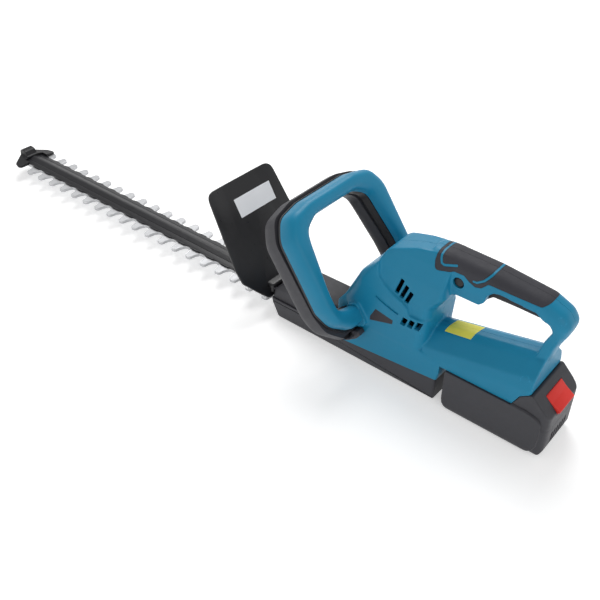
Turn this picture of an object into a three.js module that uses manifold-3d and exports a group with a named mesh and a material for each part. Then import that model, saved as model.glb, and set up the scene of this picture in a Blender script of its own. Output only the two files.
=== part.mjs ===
// Cordless hedge trimmer, millimetres.
// +X points to the blade tip, +Y to the tool's left, +Z up.
// The origin is where the crank's axis meets the plane that the tool rests on.

import * as THREE from 'three';
import { mergeVertices } from 'three/addons/utils/BufferGeometryUtils.js';
import Module from 'manifold-3d';

const wasm = await Module();
wasm.setup();

// ---------------------------------------------------------------- driving dimensions

// fits shared by all pieces
const seatGap = 0.3;
const runningGap = 0.4;
const wall = 2.6;

// blade set
const bladeMidZ = 19;
const bladeThickness = 2.2;
const bladeGap = 0.3;
const bladeHalfWidth = 16;
const toothPitch = 28.6;
const rearToothX = 140;
const toothReach = 33.2;
const toothTipHalf = 4.2;
const toothRootHalf = 8.8;
const firstToothX = 655;
const toothStagger = 17.5;
const bladeEndX = 684;

// guide bar over the blades
const barThickness = 2.5;
const barRidgeHeight = 3.3;
const barTabReach = 19;
const barTabHalf = 5;
const barRearX = 40;
const tongueLength = 17;
const tongueHalfWidth = 6;

// moulded guard on the end of the bar
const tipNoseLength = 22;
const tipNoseHalf = 8.5;
const tipTopZ = 36;
const tipWingTopZ = 26.6;
const tipWingReach = 33.5;

// bolts that the blades slide on
const boltShoulderRadius = 3;
const boltShankRadius = 2.3;
const boltHeadRadius = 7;
const boltHeadHeight = 2.8;
const firstBoltX = 165;
const lastBoltToEnd = 59;
const boltCount = 5;
const frameBoltX = [60, 95];

// crank and motor drive
const crankThrow = 7.2;
const eccentricRadius = 11;
const journalRadius = 6;
const bearingOuterRadius = 11;
const bearingWidth = 6;
const gearModule = 1.5;
const gearTeeth = 30;
const pinionTeeth = 8;
const gearFaceWidth = 8;
const motorRadius = 21;
const motorLength = 58;
const motorShaftRadius = 2.5;
const fanRadius = 19;
const fanHeight = 9;

// gear cover under the tool, and gear case above it
const coverHalfWidth = 31.5;
const coverRearX = -121;
const noseFrontX = 116;
const noseToeX = 126;
const noseRearX = 12.3;
const noseTopZ = 55;
const noseHalfWidth = 29;
const seamFrontZ = 22;
const seamRearZ = 34;
const innerCaseTopZ = 45.5;
const innerCaseRearX = -54;
const innerCaseHalfWidth = 28.4;
const coverScrewHeadRadius = 3.6;
const coverScrewShankRadius = 2;

// housing
const bodyHalfWidth = 35;
const bodyFrontX = 17;
const bodyRearX = -232;
const bayFloorZ = 57;
const bayFrontX = -126;
const handleHalfWidth = 18;
const handleEdgeRound = 12;
const gripPadThickness = 2;

// front loop handle
const loopTilt = THREE.MathUtils.degToRad(34);
const loopCentreX = 56;
const loopCentreZ = 163;
const loopHalfWidth = 88;
const loopLegThickness = 20;
const loopTopT = 38;
const loopTopThickness = 23;
const loopFootT = -127;
const loopFootThickness = 23;
const loopDepth = 18;
const loopCoverThickness = 3.2;
const barLeverDepth = 27;
const leverRestTilt = THREE.MathUtils.degToRad(1.8);
const leverPivotT = -131;
const leverPivotW = 9;
const earThickness = 10;

// rear controls
const triggerHalfWidth = 7.4;
const triggerPivotX = -112;
const triggerPivotZ = 154;
const triggerTopZ = 165.5;
const triggerSpringX = -196;
const triggerSpringRoofZ = 177.8;
const triggerSpringRadius = 2.6;
const triggerSpringWire = 0.45;
const triggerPinHalf = 12;
const pivotPinRadius = 2;
const lockX = -125;
const lockZ = 162;
const lockRadius = 6.2;

// battery pack
const packHalfWidth = 37.5;
const packRearX = -257.5;
const packFrontX = -137;
const packToeX = -132.5;
const packSplitZ = 39;
const packWall = 2.2;
const railStemHalf = 17;
const railWingHalf = 22.5;
const railTopZ = 67.6;
const railWingZ = 64;
const buttonHalfWidth = 17.5;
const buttonTravel = 3.5;
const cellRadius = 9.1;
const cellPitch = 19;
const cellsPerRow = 5;

// hand guard
const guardTiltRun = 0.6;
const guardFootX = 112;
const guardThickness = 3;
const guardTopZ = 159;
const guardTopHalf = 57;
const guardWideHalf = 66;
const guardWideZ = 62;
const guardBottomZ = 26;
const guardBottomHalf = 34;

// ---------------------------------------------------------------- materials

function finish(color, roughness, metalness = 0) {
  return new THREE.MeshStandardMaterial({ color, roughness, metalness });
}
const teal = () => finish(0x2b7896, 0.45);
const darkPlastic = () => finish(0x44454a, 0.6);
const blackPlastic = () => finish(0x222326, 0.5);
const rubber = () => finish(0x3f3f46, 0.85);
const steel = () => finish(0xbfc0c2, 0.35, 1);
const darkSteel = () => finish(0x55575c, 0.4, 1);
const redPlastic = () => finish(0xdc463c, 0.4);
const copper = () => finish(0xb87333, 0.4, 1);

// ---------------------------------------------------------------- solid helpers

function solidOf(geometry) {
  const bare = geometry.clone();
  bare.deleteAttribute('normal');
  bare.deleteAttribute('uv');
  const merged = mergeVertices(bare, 1e-4);
  return new wasm.Manifold(new wasm.Mesh({
    numProp: 3,
    vertProperties: new Float32Array(merged.attributes.position.array),
    triVerts: new Uint32Array(merged.index.array),
  }));
}

function geometryOf(solid) {
  const mesh = solid.getMesh();
  const geometry = new THREE.BufferGeometry();
  geometry.setAttribute('position', new THREE.BufferAttribute(mesh.vertProperties, 3));
  geometry.setIndex(new THREE.BufferAttribute(mesh.triVerts, 1));
  return geometry;
}

function join(...solids) {
  return solids.reduce((whole, next) => whole.add(next));
}

function cut(base, ...tools) {
  return tools.reduce((rest, tool) => rest.subtract(tool), base);
}

function piece(name, solid, material) {
  const mesh = new THREE.Mesh(geometryOf(solid), material);
  mesh.name = name;
  return mesh;
}

// A closed outline from points [a, b, r]; r rounds the corner, none leaves it sharp.
function roundedShape(points) {
  const shape = new THREE.Shape();
  const count = points.length;
  points.forEach(([a, b, r = 0], i) => {
    const corner = new THREE.Vector2(a, b);
    const before = new THREE.Vector2(...points[(i + count - 1) % count].slice(0, 2));
    const after = new THREE.Vector2(...points[(i + 1) % count].slice(0, 2));
    const inward = before.clone().sub(corner);
    const outward = after.clone().sub(corner);
    const room = 0.48 * Math.min(inward.length(), outward.length());
    const turn = Math.PI - Math.abs(inward.angle() - outward.angle());
    const setback = Math.min(room, r * Math.abs(Math.tan(turn / 2)));
    const start = corner.clone().addScaledVector(inward.normalize(), setback);
    const end = corner.clone().addScaledVector(outward.normalize(), setback);
    if (i === 0) shape.moveTo(start.x, start.y);
    else shape.lineTo(start.x, start.y);
    if (setback > 0.05) shape.quadraticCurveTo(corner.x, corner.y, end.x, end.y);
  });
  return shape;
}

function extruded(points, depth, bevel, curveSegments, bevelSegments = 1) {
  const shape = roundedShape(bevel > 0 ? insetOutline(points, bevel) : points);
  return new THREE.ExtrudeGeometry(shape, {
    depth: depth - 2 * bevel,
    curveSegments,
    bevelEnabled: bevel > 0,
    bevelThickness: bevel,
    bevelSize: bevel,
    bevelSegments,
  }).translate(0, 0, bevel);
}

// side outline (x, z) carried across the tool from yLow to yHigh
function acrossY(points, yLow, yHigh, bevel = 0, curveSegments = 2, bevelSegments = 1) {
  const geometry = extruded(points, yHigh - yLow, bevel, curveSegments, bevelSegments);
  return solidOf(geometry.rotateX(Math.PI / 2).translate(0, yHigh, 0));
}

// cross outline (y, z) carried along the tool from xLow to xHigh
function alongX(points, xLow, xHigh, bevel = 0, curveSegments = 2) {
  const geometry = extruded(points, xHigh - xLow, bevel, curveSegments);
  const turn = new THREE.Matrix4().makeBasis(
    new THREE.Vector3(0, 1, 0), new THREE.Vector3(0, 0, 1), new THREE.Vector3(1, 0, 0));
  return solidOf(geometry.applyMatrix4(turn).translate(xLow, 0, 0));
}

// plan outline (x, y) carried up from zLow to zHigh
function upZ(points, zLow, zHigh, bevel = 0, curveSegments = 2) {
  return solidOf(extruded(points, zHigh - zLow, bevel, curveSegments).translate(0, 0, zLow));
}

function block(x0, x1, y0, y1, z0, z1) {
  const geometry = new THREE.BoxGeometry(x1 - x0, y1 - y0, z1 - z0);
  return solidOf(geometry.translate((x0 + x1) / 2, (y0 + y1) / 2, (z0 + z1) / 2));
}

function rodZ(x, y, z0, z1, radius, sides = 16) {
  const geometry = new THREE.CylinderGeometry(radius, radius, z1 - z0, sides);
  return solidOf(geometry.rotateX(Math.PI / 2).translate(x, y, (z0 + z1) / 2));
}

function rodY(x, z, y0, y1, radius, sides = 12) {
  const geometry = new THREE.CylinderGeometry(radius, radius, y1 - y0, sides);
  return solidOf(geometry.translate(x, (y0 + y1) / 2, z));
}

function ringZ(x, y, z0, z1, innerRadius, outerRadius, sides = 20) {
  const profile = [[innerRadius, z0], [outerRadius, z0], [outerRadius, z1], [innerRadius, z1], [innerRadius, z0]]
    .map(([r, z]) => new THREE.Vector2(r, z));
  return solidOf(new THREE.LatheGeometry(profile, sides).rotateX(Math.PI / 2).translate(x, y, 0));
}

// coil of round wire standing on the XY plane, its axis along Z
function coil(radius, wireRadius, length, turns, stepsPerTurn = 7, sides = 4) {
  class Helix extends THREE.Curve {
    getPoint(t) {
      const angle = 2 * Math.PI * turns * t;
      const height = wireRadius + t * (length - 2 * wireRadius);
      return new THREE.Vector3(radius * Math.cos(angle), radius * Math.sin(angle), height);
    }
  }
  const section = new THREE.Shape();
  for (let i = 0; i < sides; i += 1) {
    const angle = (2 * Math.PI * i) / sides;
    const at = [wireRadius * Math.cos(angle), wireRadius * Math.sin(angle)];
    if (i === 0) section.moveTo(...at);
    else section.lineTo(...at);
  }
  const steps = Math.round(turns * stepsPerTurn);
  return new THREE.ExtrudeGeometry(section, { steps, extrudePath: new Helix(), bevelEnabled: false });
}

function mirroredY(solid) {
  return solid.mirror([0, 1, 0]);
}

function insetOutline(points, distance) {
  const count = points.length;
  const area = points.reduce((sum, [a, b], i) => {
    const [c, d] = points[(i + 1) % count];
    return sum + (a * d - c * b) / 2;
  }, 0);
  const side = Math.sign(area);
  return points.map(([a, b, r = 0], i) => {
    const corner = new THREE.Vector2(a, b);
    const before = corner.clone().sub(new THREE.Vector2(...points[(i + count - 1) % count].slice(0, 2))).normalize();
    const after = new THREE.Vector2(...points[(i + 1) % count].slice(0, 2)).sub(corner).normalize();
    const normalBefore = new THREE.Vector2(-before.y, before.x).multiplyScalar(side);
    const normalAfter = new THREE.Vector2(-after.y, after.x).multiplyScalar(side);
    const bisector = normalBefore.clone().add(normalAfter).normalize();
    const reach = distance / Math.max(0.35, bisector.dot(normalBefore));
    const convex = side * before.cross(after) > 0;
    const radius = Math.max(0, convex ? r - distance : r + distance);
    return [a + bisector.x * reach, b + bisector.y * reach, radius];
  });
}

// ---------------------------------------------------------------- blades

const lowerBladeZ = bladeMidZ - bladeGap / 2 - bladeThickness;
const upperBladeZ = bladeMidZ + bladeGap / 2;
const upperBladeTopZ = upperBladeZ + bladeThickness;
const crankSwingShare = 0.2105;
const yokeSlotHalfX = eccentricRadius + crankSwingShare * crankThrow + seatGap;
const yokeSlotHalfY = eccentricRadius + crankThrow + runningGap;
const yokeRim = 4.5;
const boltSlotHalfX = boltShoulderRadius + crankThrow + 2 * runningGap;
const boltSlotHalfY = boltShoulderRadius + runningGap;
const boltSlotCorner = 1;

function toothCentres(side) {
  const first = side > 0 ? firstToothX : firstToothX + toothStagger;
  const count = Math.floor((first - rearToothX) / toothPitch) + 1;
  return Array.from({ length: count }, (_, i) => first - i * toothPitch);
}

// blade edge from the neck to the tip along one side, as points [x, y]
function toothedEdge(side) {
  return toothCentres(side).reverse().flatMap((x) => [
    [x - toothRootHalf, side * bladeHalfWidth],
    [x - toothTipHalf, side * toothReach],
    [x + toothTipHalf, side * toothReach],
    [x + toothRootHalf, side * bladeHalfWidth],
  ]);
}

function rectangleHole(x, halfX, halfY, radius) {
  const hole = roundedShape([
    [x - halfX, -halfY, radius], [x - halfX, halfY, radius], [x + halfX, halfY, radius], [x + halfX, -halfY, radius],
  ]);
  return new THREE.Path(hole.getPoints(1));
}

function bladeSolid(zLow) {
  const yokeHalfX = yokeSlotHalfX + yokeRim;
  const yokeHalfY = yokeSlotHalfY + yokeRim;
  const yokeCorner = 4;
  const left = toothedEdge(1);
  const right = toothedEdge(-1).reverse();
  const outline = [
    [-yokeHalfX + yokeCorner, -yokeHalfY], [yokeHalfX - yokeCorner, -yokeHalfY],
    [yokeHalfX, -yokeHalfY + yokeCorner], [yokeHalfX, -bladeHalfWidth],
    ...right.reverse(),
    [bladeEndX, -bladeHalfWidth / 2], [bladeEndX, bladeHalfWidth / 2],
    ...left.reverse(),
    [yokeHalfX, bladeHalfWidth], [yokeHalfX, yokeHalfY - yokeCorner],
    [yokeHalfX - yokeCorner, yokeHalfY], [-yokeHalfX + yokeCorner, yokeHalfY],
    [-yokeHalfX, yokeHalfY - yokeCorner], [-yokeHalfX, -yokeHalfY + yokeCorner],
  ];
  const shape = new THREE.Shape(outline.map(([x, y]) => new THREE.Vector2(x, y)));
  shape.holes.push(rectangleHole(0, yokeSlotHalfX, yokeSlotHalfY, 3));
  for (const x of [...frameBoltX, ...bladeBoltX()]) {
    shape.holes.push(rectangleHole(x, boltSlotHalfX, boltSlotHalfY, boltSlotCorner));
  }
  const geometry = new THREE.ExtrudeGeometry(shape, { depth: bladeThickness, bevelEnabled: false });
  return solidOf(geometry.translate(0, 0, zLow));
}

function bladeBoltX() {
  const spacing = (bladeEndX - lastBoltToEnd - firstBoltX) / (boltCount - 1);
  return Array.from({ length: boltCount }, (_, i) => firstBoltX + i * spacing);
}

// ---------------------------------------------------------------- guide bar and tip guard

const barBottomZ = upperBladeTopZ + seatGap;
const barTopZ = barBottomZ + barThickness;
const ridgeTopZ = barTopZ + barRidgeHeight;
const ridgeRearX = noseToeX + 2;
const barHalfWidth = bladeHalfWidth + 0.5;
const tongueEndX = bladeEndX + tongueLength;
const tipScrewX = bladeEndX + 12;

function scallopedEdge(side) {
  return toothCentres(side).reverse().flatMap((x) => [
    [x - barTabHalf - 3.5, side * barHalfWidth],
    [x - barTabHalf, side * barTabReach],
    [x + barTabHalf, side * barTabReach],
    [x + barTabHalf + 3.5, side * barHalfWidth],
  ]);
}

function guideBar() {
  const outline = [
    [barRearX, -barHalfWidth], ...scallopedEdge(-1), [bladeEndX, -barHalfWidth],
    [bladeEndX, -tongueHalfWidth], [tongueEndX, -tongueHalfWidth],
    [tongueEndX, tongueHalfWidth], [bladeEndX, tongueHalfWidth],
    [bladeEndX, barHalfWidth], ...scallopedEdge(1).reverse(), [barRearX, barHalfWidth],
  ];
  const plate = upZ(outline, barBottomZ, barTopZ);
  const ridge = alongX([
    [-9.5, barTopZ - 0.5], [9.5, barTopZ - 0.5], [9.5, barTopZ + 0.9],
    [2, ridgeTopZ], [-2, ridgeTopZ], [-9.5, barTopZ + 0.9],
  ], ridgeRearX, bladeEndX);
  const holes = [
    ...bladeBoltX().map((x) => rodZ(x, 0, barBottomZ - 1, boltTipZ + seatGap, boltShankRadius + seatGap, 8)),
    ...frameBoltX.map((x) => rodZ(x, 0, barBottomZ - 1, barTopZ + 1, boltShankRadius + seatGap, 8)),
    rodZ(tipScrewX, 0, barBottomZ - 1, barTopZ + 1, boltShankRadius + seatGap, 8),
  ];
  return cut(join(plate, ridge), ...holes);
}

function boxed(x0, x1, half, lowZ, highZ, bevel) {
  return upZ([[x0, -half, 3], [x1, -half, 3], [x1, half, 3], [x0, half, 3]], lowZ, highZ, bevel, 1);
}

function tipGuard() {
  const rearX = bladeEndX + seatGap + 0.2;
  const noseX = bladeEndX + tipNoseLength;
  const half = [
    [rearX, bladeHalfWidth + 1], [rearX - 8, bladeHalfWidth + 4.5, 3], [rearX - 10, tipWingReach - 1, 3],
    [rearX - 5, tipWingReach, 3], [rearX + 4, tipWingReach - 3.5, 5], [noseX - 4, tipNoseHalf + 4, 8], [noseX, tipNoseHalf, 3],
  ];
  const arrow = [...half, ...half.slice().reverse().map(([x, y, r]) => [x, -y, r])];
  const floorZ = barBottomZ + 0.1;
  const plate = upZ(arrow, floorZ, tipWingTopZ, 1.2);
  const spine = boxed(rearX, noseX - 1, tipNoseHalf + 3, floorZ, ridgeTopZ + 1, 1.2);
  const nose = boxed(tongueEndX + 1, noseX, tipNoseHalf, bladeMidZ - 6, ridgeTopZ, 1.2);
  const hump = boxed(rearX + 6, noseX, tipNoseHalf, floorZ, tipTopZ, 3);
  const recess = block(rearX - 5, tongueEndX + seatGap, -tongueHalfWidth - seatGap, tongueHalfWidth + seatGap,
    floorZ - 5, barTopZ + seatGap);
  const screwHole = rodZ(tipScrewX, 0, floorZ, ridgeTopZ + seatGap, boltShankRadius + seatGap, 12);
  return cut(join(plate, spine, nose, hump), recess, screwHole);
}

function headedScrewZ(x, y, headLowZ, headHighZ, tipZ, headRadius, shankRadius) {
  const head = rodZ(x, y, headLowZ, headHighZ, headRadius, 12);
  const shank = rodZ(x, y, headHighZ - 0.5, tipZ, shankRadius, 8);
  return join(head, shank);
}

const boltHeadTopZ = lowerBladeZ - runningGap;
const boltTipZ = ridgeTopZ - 2;
const frameBoltTipZ = barTopZ + 12;

function shoulderBolt(x, tipZ) {
  const head = rodZ(x, 0, boltHeadTopZ - boltHeadHeight, boltHeadTopZ, boltHeadRadius, 14);
  const shoulder = rodZ(x, 0, boltHeadTopZ - 0.5, barBottomZ - seatGap, boltShoulderRadius, 10);
  const shank = rodZ(x, 0, barBottomZ - 1, tipZ, boltShankRadius, 8);
  return join(head, shoulder, shank);
}

// ---------------------------------------------------------------- crank, gear and motor

const pitchRadius = (gearModule * gearTeeth) / 2;
const pinionPitchRadius = (gearModule * pinionTeeth) / 2;
const motorX = -(pitchRadius + pinionPitchRadius);
const gearLowZ = barTopZ + 0.4;
const gearHighZ = gearLowZ + gearFaceWidth;
const eccentricTopZ = upperBladeTopZ + 0.4;
const eccentricLowZ = lowerBladeZ - 0.4;
const upperBearingLowZ = gearHighZ + 2;
const lowerBearingTopZ = eccentricLowZ - 4;
const gearRoomRadius = pitchRadius + gearModule + 1;

// toothed plan outline; shift turns it by a part of one tooth
function gearOutline(teeth, shift, addendum, dedendum) {
  const radius = (gearModule * teeth) / 2;
  const tipHalf = 0.13;
  const rootHalf = 0.27;
  const step = (2 * Math.PI) / teeth;
  const points = [];
  for (let i = 0; i < teeth; i += 1) {
    const middle = (i + shift) * step;
    const stations = [
      [radius - dedendum, -rootHalf], [radius + addendum, -tipHalf],
      [radius + addendum, tipHalf], [radius - dedendum, rootHalf],
    ];
    for (const [r, share] of stations) {
      const angle = middle + share * step;
      points.push([r * Math.cos(angle), r * Math.sin(angle)]);
    }
  }
  return points;
}

function crankGear() {
  const thrustRadius = 9;
  const gear = upZ(gearOutline(gearTeeth, 0, 1, 1.6), gearLowZ, gearHighZ);
  const hub = rodZ(0, 0, eccentricTopZ - 0.1, upperBearingLowZ - 0.5, thrustRadius);
  const journal = rodZ(0, 0, gearHighZ - 1, upperBearingLowZ + bearingWidth, journalRadius);
  const upperEccentric = rodZ(0, crankThrow, bladeMidZ, eccentricTopZ, eccentricRadius);
  const lowerEccentric = rodZ(0, -crankThrow, eccentricLowZ, bladeMidZ, eccentricRadius);
  const collar = rodZ(0, 0, lowerBearingTopZ + 0.5, eccentricLowZ + 0.1, thrustRadius);
  const foot = rodZ(0, 0, lowerBearingTopZ - bearingWidth, lowerBearingTopZ + 1, journalRadius);
  return join(gear, hub, journal, upperEccentric, lowerEccentric, collar, foot);
}

function motorPinion() {
  const outline = gearOutline(pinionTeeth, 0.5, 1, 1.6);
  const teeth = upZ(outline, gearLowZ, gearHighZ).translate([motorX, 0, 0]);
  const collar = rodZ(motorX, 0, gearHighZ - 0.5, gearHighZ + 5, 5, 16);
  return cut(join(teeth, collar), rodZ(motorX, 0, gearLowZ - 1, gearHighZ + 6, motorShaftRadius + seatGap, 12));
}

const motorLowZ = innerCaseTopZ + seatGap;
const motorHighZ = motorLowZ + motorLength;
const motorSkin = 1.5;
const motorCapThickness = 3;
const fanLowZ = motorHighZ + seatGap + motorCapThickness + 1.5;

function motorCan() {
  const can = rodZ(motorX, 0, motorLowZ, motorHighZ, motorRadius, 20);
  const hollow = rodZ(motorX, 0, motorLowZ + motorSkin, motorHighZ + 1, motorRadius - motorSkin, 20);
  const shaftHole = rodZ(motorX, 0, motorLowZ - 1, motorLowZ + motorSkin + 1, motorShaftRadius + runningGap, 12);
  return cut(can, hollow, shaftHole);
}

function motorMagnet() {
  const outer = motorRadius - motorSkin - seatGap;
  return ringZ(motorX, 0, motorLowZ + 8, motorHighZ - 14, outer - 4.5, outer, 20);
}

function motorEndCap() {
  const low = motorHighZ + seatGap;
  const disc = rodZ(motorX, 0, low, low + motorCapThickness, motorRadius, 20);
  return cut(disc, rodZ(motorX, 0, low - 1, low + motorCapThickness + 1, motorShaftRadius + runningGap, 12));
}

function motorRotor() {
  const armatureRadius = 12.5;
  const shaft = rodZ(motorX, 0, gearLowZ, fanLowZ + fanHeight, motorShaftRadius, 12);
  const armature = rodZ(motorX, 0, motorLowZ + 10, motorHighZ - 16, armatureRadius, 20);
  const commutator = rodZ(motorX, 0, motorHighZ - 16.5, motorHighZ - 4, 7, 16);
  return join(shaft, armature, commutator);
}

function coolingFan() {
  const plate = rodZ(motorX, 0, fanLowZ, fanLowZ + 1.6, fanRadius, 20);
  const hub = rodZ(motorX, 0, fanLowZ, fanLowZ + fanHeight, 6, 12);
  let fan = join(plate, hub);
  const vanes = 7;
  for (let i = 0; i < vanes; i += 1) {
    const geometry = new THREE.BoxGeometry(fanRadius - 6, 1.4, fanHeight - 0.4);
    geometry.translate(fanRadius / 2 + 2.5, 0, fanLowZ + fanHeight / 2 + 0.2);
    geometry.rotateZ((2 * Math.PI * i) / vanes).translate(motorX, 0, 0);
    fan = fan.add(solidOf(geometry));
  }
  return fan.subtract(rodZ(motorX, 0, fanLowZ - 1, fanLowZ + fanHeight + 1, motorShaftRadius + seatGap, 12));
}

// ---------------------------------------------------------------- gear cover and gear case

const coverScrews = [[104, 23], [104, -23], [-106, 23], [-106, -23]];
const tunnelHalfWidth = barHalfWidth + 0.8;
const coverFloor = 3;

function seamZ(x) {
  const share = Math.min(1, Math.max(0, (noseRearX - x) / (noseRearX - coverRearX)));
  return seamFrontZ + share * (seamRearZ - seamFrontZ);
}

function gearCover() {
  const tall = seamRearZ + 12;
  const rounded = acrossY([[coverRearX, 0], [noseFrontX, 0, 5], [noseToeX, 20], [noseToeX, tall], [coverRearX, tall]],
    -coverHalfWidth, coverHalfWidth, 2.5);
  const exact = acrossY([[coverRearX, 0], [noseToeX, 0], [noseToeX, seamFrontZ], [noseRearX, seamFrontZ],
    [coverRearX, seamRearZ]], -coverHalfWidth - 1, coverHalfWidth + 1);
  const inner = coverHalfWidth - wall;
  const hollow = block(coverRearX + wall, noseFrontX - 3, -inner, inner, coverFloor, tall);
  const boss = rodZ(0, 0, coverFloor - 1, lowerBearingTopZ + 0.2, bearingOuterRadius + 3);
  const screwBosses = coverScrews.map(([x, y]) => rodZ(x, y, coverFloor - 1, seamZ(x), 5.4, 12));
  const bore = rodZ(0, 0, lowerBearingTopZ - bearingWidth - seatGap, tall, bearingOuterRadius + seatGap);
  const tunnel = block(noseFrontX - 6, noseToeX + 1, -tunnelHalfWidth, tunnelHalfWidth, bladeMidZ - 6.5, tall);
  const screwHoles = coverScrews.map(([x, y]) => join(
    rodZ(x, y, -1, 4.5, coverScrewHeadRadius + runningGap, 12),
    rodZ(x, y, 4, tall, coverScrewShankRadius + seatGap, 8)));
  const shell = join(cut(rounded.intersect(exact), hollow), boss, ...screwBosses);
  return cut(shell, bore, tunnel, toothRoom(1), toothRoom(-1), ...screwHoles).intersect(exact);
}

// room in the cover's mouth for the rearmost tooth at the end of its stroke
function toothRoom(side) {
  const rearmost = Math.min(...toothCentres(side)) - crankThrow - 2 * runningGap;
  const outline = [[rearmost - toothRootHalf, bladeHalfWidth - 1], [rearmost - toothTipHalf, toothReach + 1],
    [rearmost + toothRootHalf, toothReach + 1], [rearmost + toothRootHalf, bladeHalfWidth - 1]];
  const room = upZ(outline, bladeMidZ - 6.5, seamFrontZ + 1);
  return side > 0 ? room : mirroredY(room);
}

const caseLowZ = seamFrontZ + seatGap;
const ribHalf = 6.5;

function gearCase() {
  const flange = block(noseRearX, noseToeX, -coverHalfWidth + 0.2, coverHalfWidth - 0.2, caseLowZ, caseLowZ + 4.5);
  const noseSide = acrossY([[noseRearX, caseLowZ + 2], [noseToeX, caseLowZ + 2], [noseToeX - 3, 40, 4],
    [noseToeX - 14, 51, 10], [45, noseTopZ, 20], [noseRearX, noseTopZ + 1]], -noseHalfWidth, noseHalfWidth);
  const noseCross = alongX([[-noseHalfWidth, caseLowZ], [noseHalfWidth, caseLowZ], [noseHalfWidth - 1, 42, 4],
    [noseHalfWidth - 6, noseTopZ + 1, 8], [-noseHalfWidth + 6, noseTopZ + 1, 8], [-noseHalfWidth + 1, 42, 4]],
  noseRearX - 1, noseToeX + 1);
  const inner = upZ([[innerCaseRearX, -innerCaseHalfWidth, 10], [noseRearX + 1, -innerCaseHalfWidth],
    [noseRearX + 1, innerCaseHalfWidth], [innerCaseRearX, innerCaseHalfWidth, 10]], caseLowZ, innerCaseTopZ);
  const gearRoom = rodZ(0, 0, caseLowZ - 1, gearHighZ + 1, gearRoomRadius, 28);
  const pinionRoom = rodZ(motorX, 0, caseLowZ - 1, innerCaseTopZ + 1, 9);
  const bearingBore = rodZ(0, 0, gearHighZ, upperBearingLowZ + bearingWidth + seatGap, bearingOuterRadius + seatGap);
  const bladeTunnel = block(10, noseToeX + 1, -tunnelHalfWidth, tunnelHalfWidth, caseLowZ - 1, barTopZ + seatGap);
  const [ribOne, ribTwo] = frameBoltX;
  const hollowHalf = 19;
  const hollowTop = noseTopZ - 5;
  const hollows = [[33, ribOne - ribHalf], [ribOne + ribHalf, ribTwo - ribHalf], [ribTwo + ribHalf, noseFrontX - 4]]
    .map(([x0, x1]) => block(x0, x1, -hollowHalf, hollowHalf, caseLowZ - 1, hollowTop));
  const boltHoles = frameBoltX.map((x) => rodZ(x, 0, caseLowZ, frameBoltTipZ + seatGap, boltShankRadius + seatGap, 8));
  const screwHoles = coverScrews.slice(0, 2)
    .map(([x, y]) => rodZ(x, y, caseLowZ - 1, caseLowZ + 11.5, coverScrewShankRadius + seatGap, 8));
  const guardHoles = guardScrewY.map((y) => rodX(guardScrewZ, y, noseToeX - 13, noseToeX + 1, 2.3 + seatGap, 8));
  const leverScrewRoom = rodY(leverPivot.x, leverPivot.z, -40, 40, 6.2, 16)
    .subtract(block(-60, 40, -22.6, 22.6, 0, 80));
  return cut(join(flange, noseSide.intersect(noseCross), inner), gearRoom, pinionRoom, bearingBore, bladeTunnel,
    ...hollows, ...boltHoles, ...screwHoles, ...guardHoles, leverScrewRoom);
}

function coverScrew([x, y]) {
  return headedScrewZ(x, y, 1, 4.2, seamZ(x) + 11, coverScrewHeadRadius, coverScrewShankRadius);
}

// ---------------------------------------------------------------- housing shells

const lowerSide = [
  [bodyFrontX, seamFrontZ + seatGap], [bodyFrontX, 80, 6], [4, 98, 12], [-60, 118], [-60, 150],
  [bodyRearX, 150], [bodyRearX, 80], [-221, 72, 2], [-214, bayFloorZ],
  [bayFrontX, bayFloorZ, 3], [coverRearX + 1, seamRearZ + seatGap], [noseRearX, seamFrontZ + seatGap],
];
const frontSide = [[60, 0], [60, 160], [-60, 160], [-74, 90, 20], [-92, 66, 12], [-119, 57], [-119, 0]];
const deckStartX = -100;
const deckStartZ = 84;
const deckRise = 0.245;
const deckCross = [
  [-bodyHalfWidth, -80], [bodyHalfWidth, -80], [bodyHalfWidth, -32, 10], [31, -20, 8], [16, -5, 10], [7, 0, 8],
  [-7, 0, 8], [-16, -5, 10], [-31, -20, 8], [-bodyHalfWidth, -32, 10],
];
const frontCross = [
  [-bodyHalfWidth, 10], [bodyHalfWidth, 10], [bodyHalfWidth, 84, 12], [26, 104, 14], [9, 112, 12],
  [-9, 112, 12], [-26, 104, 14], [-bodyHalfWidth, 84, 12],
];
const baySide = [
  [12, 50], [12, 88, 10], [-9, 131, 20], [-30, 153, 10], [-37, 169.5, 18], [-72, 182, 24],
  [-98, 186, 20], [-116, 187, 8], [-116, 136, 6], [-104, 118, 10], [-100, 50],
];
const bayHalfWidth = bodyHalfWidth - 1.5;
const bayEdgeRound = 15;
const bayCross = [
  [-bayHalfWidth, 40], [bayHalfWidth, 40], [bayHalfWidth, 108, 20], [27, 150, 20], [21, 172, 12],
  [10, 195], [-10, 195], [-21, 172, 12], [-27, 150, 20], [-bayHalfWidth, 108, 20],
];
const handleSide = [
  [-84, 88], [-84, 187, 8], [-110, 189, 30], [-158, 187.5, 40], [-218, 181, 24], [-240, 171.5, 18], [-248, 160, 12],
  [-245, 147, 12], [-237, 128, 16], [-231.5, 104, 6], [-228, 88],
];
const handleCross = [
  [-14, 60], [14, 60], [12.8, 128, 30], [handleHalfWidth, 158, 20], [handleHalfWidth, 200],
  [-handleHalfWidth, 200], [-handleHalfWidth, 158, 20], [-12.8, 128, 30],
];
const fingerHole = [
  [-114, 139.5, 5], [-124, 144, 6], [-150, 143.8, 4], [-155, 149, 3], [-158.5, 161, 4], [-165, 167.5, 5],
  [-173, 169, 8], [-200, 167], [-212, 166.5, 4], [-220, 161, 6], [-229, 159, 8], [-232, 150, 8], [-225, 134, 20],
  [-218, 104, 6], [-180, 92], [-120, 78, 10], [-104, 86, 12], [-99, 104, 14], [-106, 124, 14],
];
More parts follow.
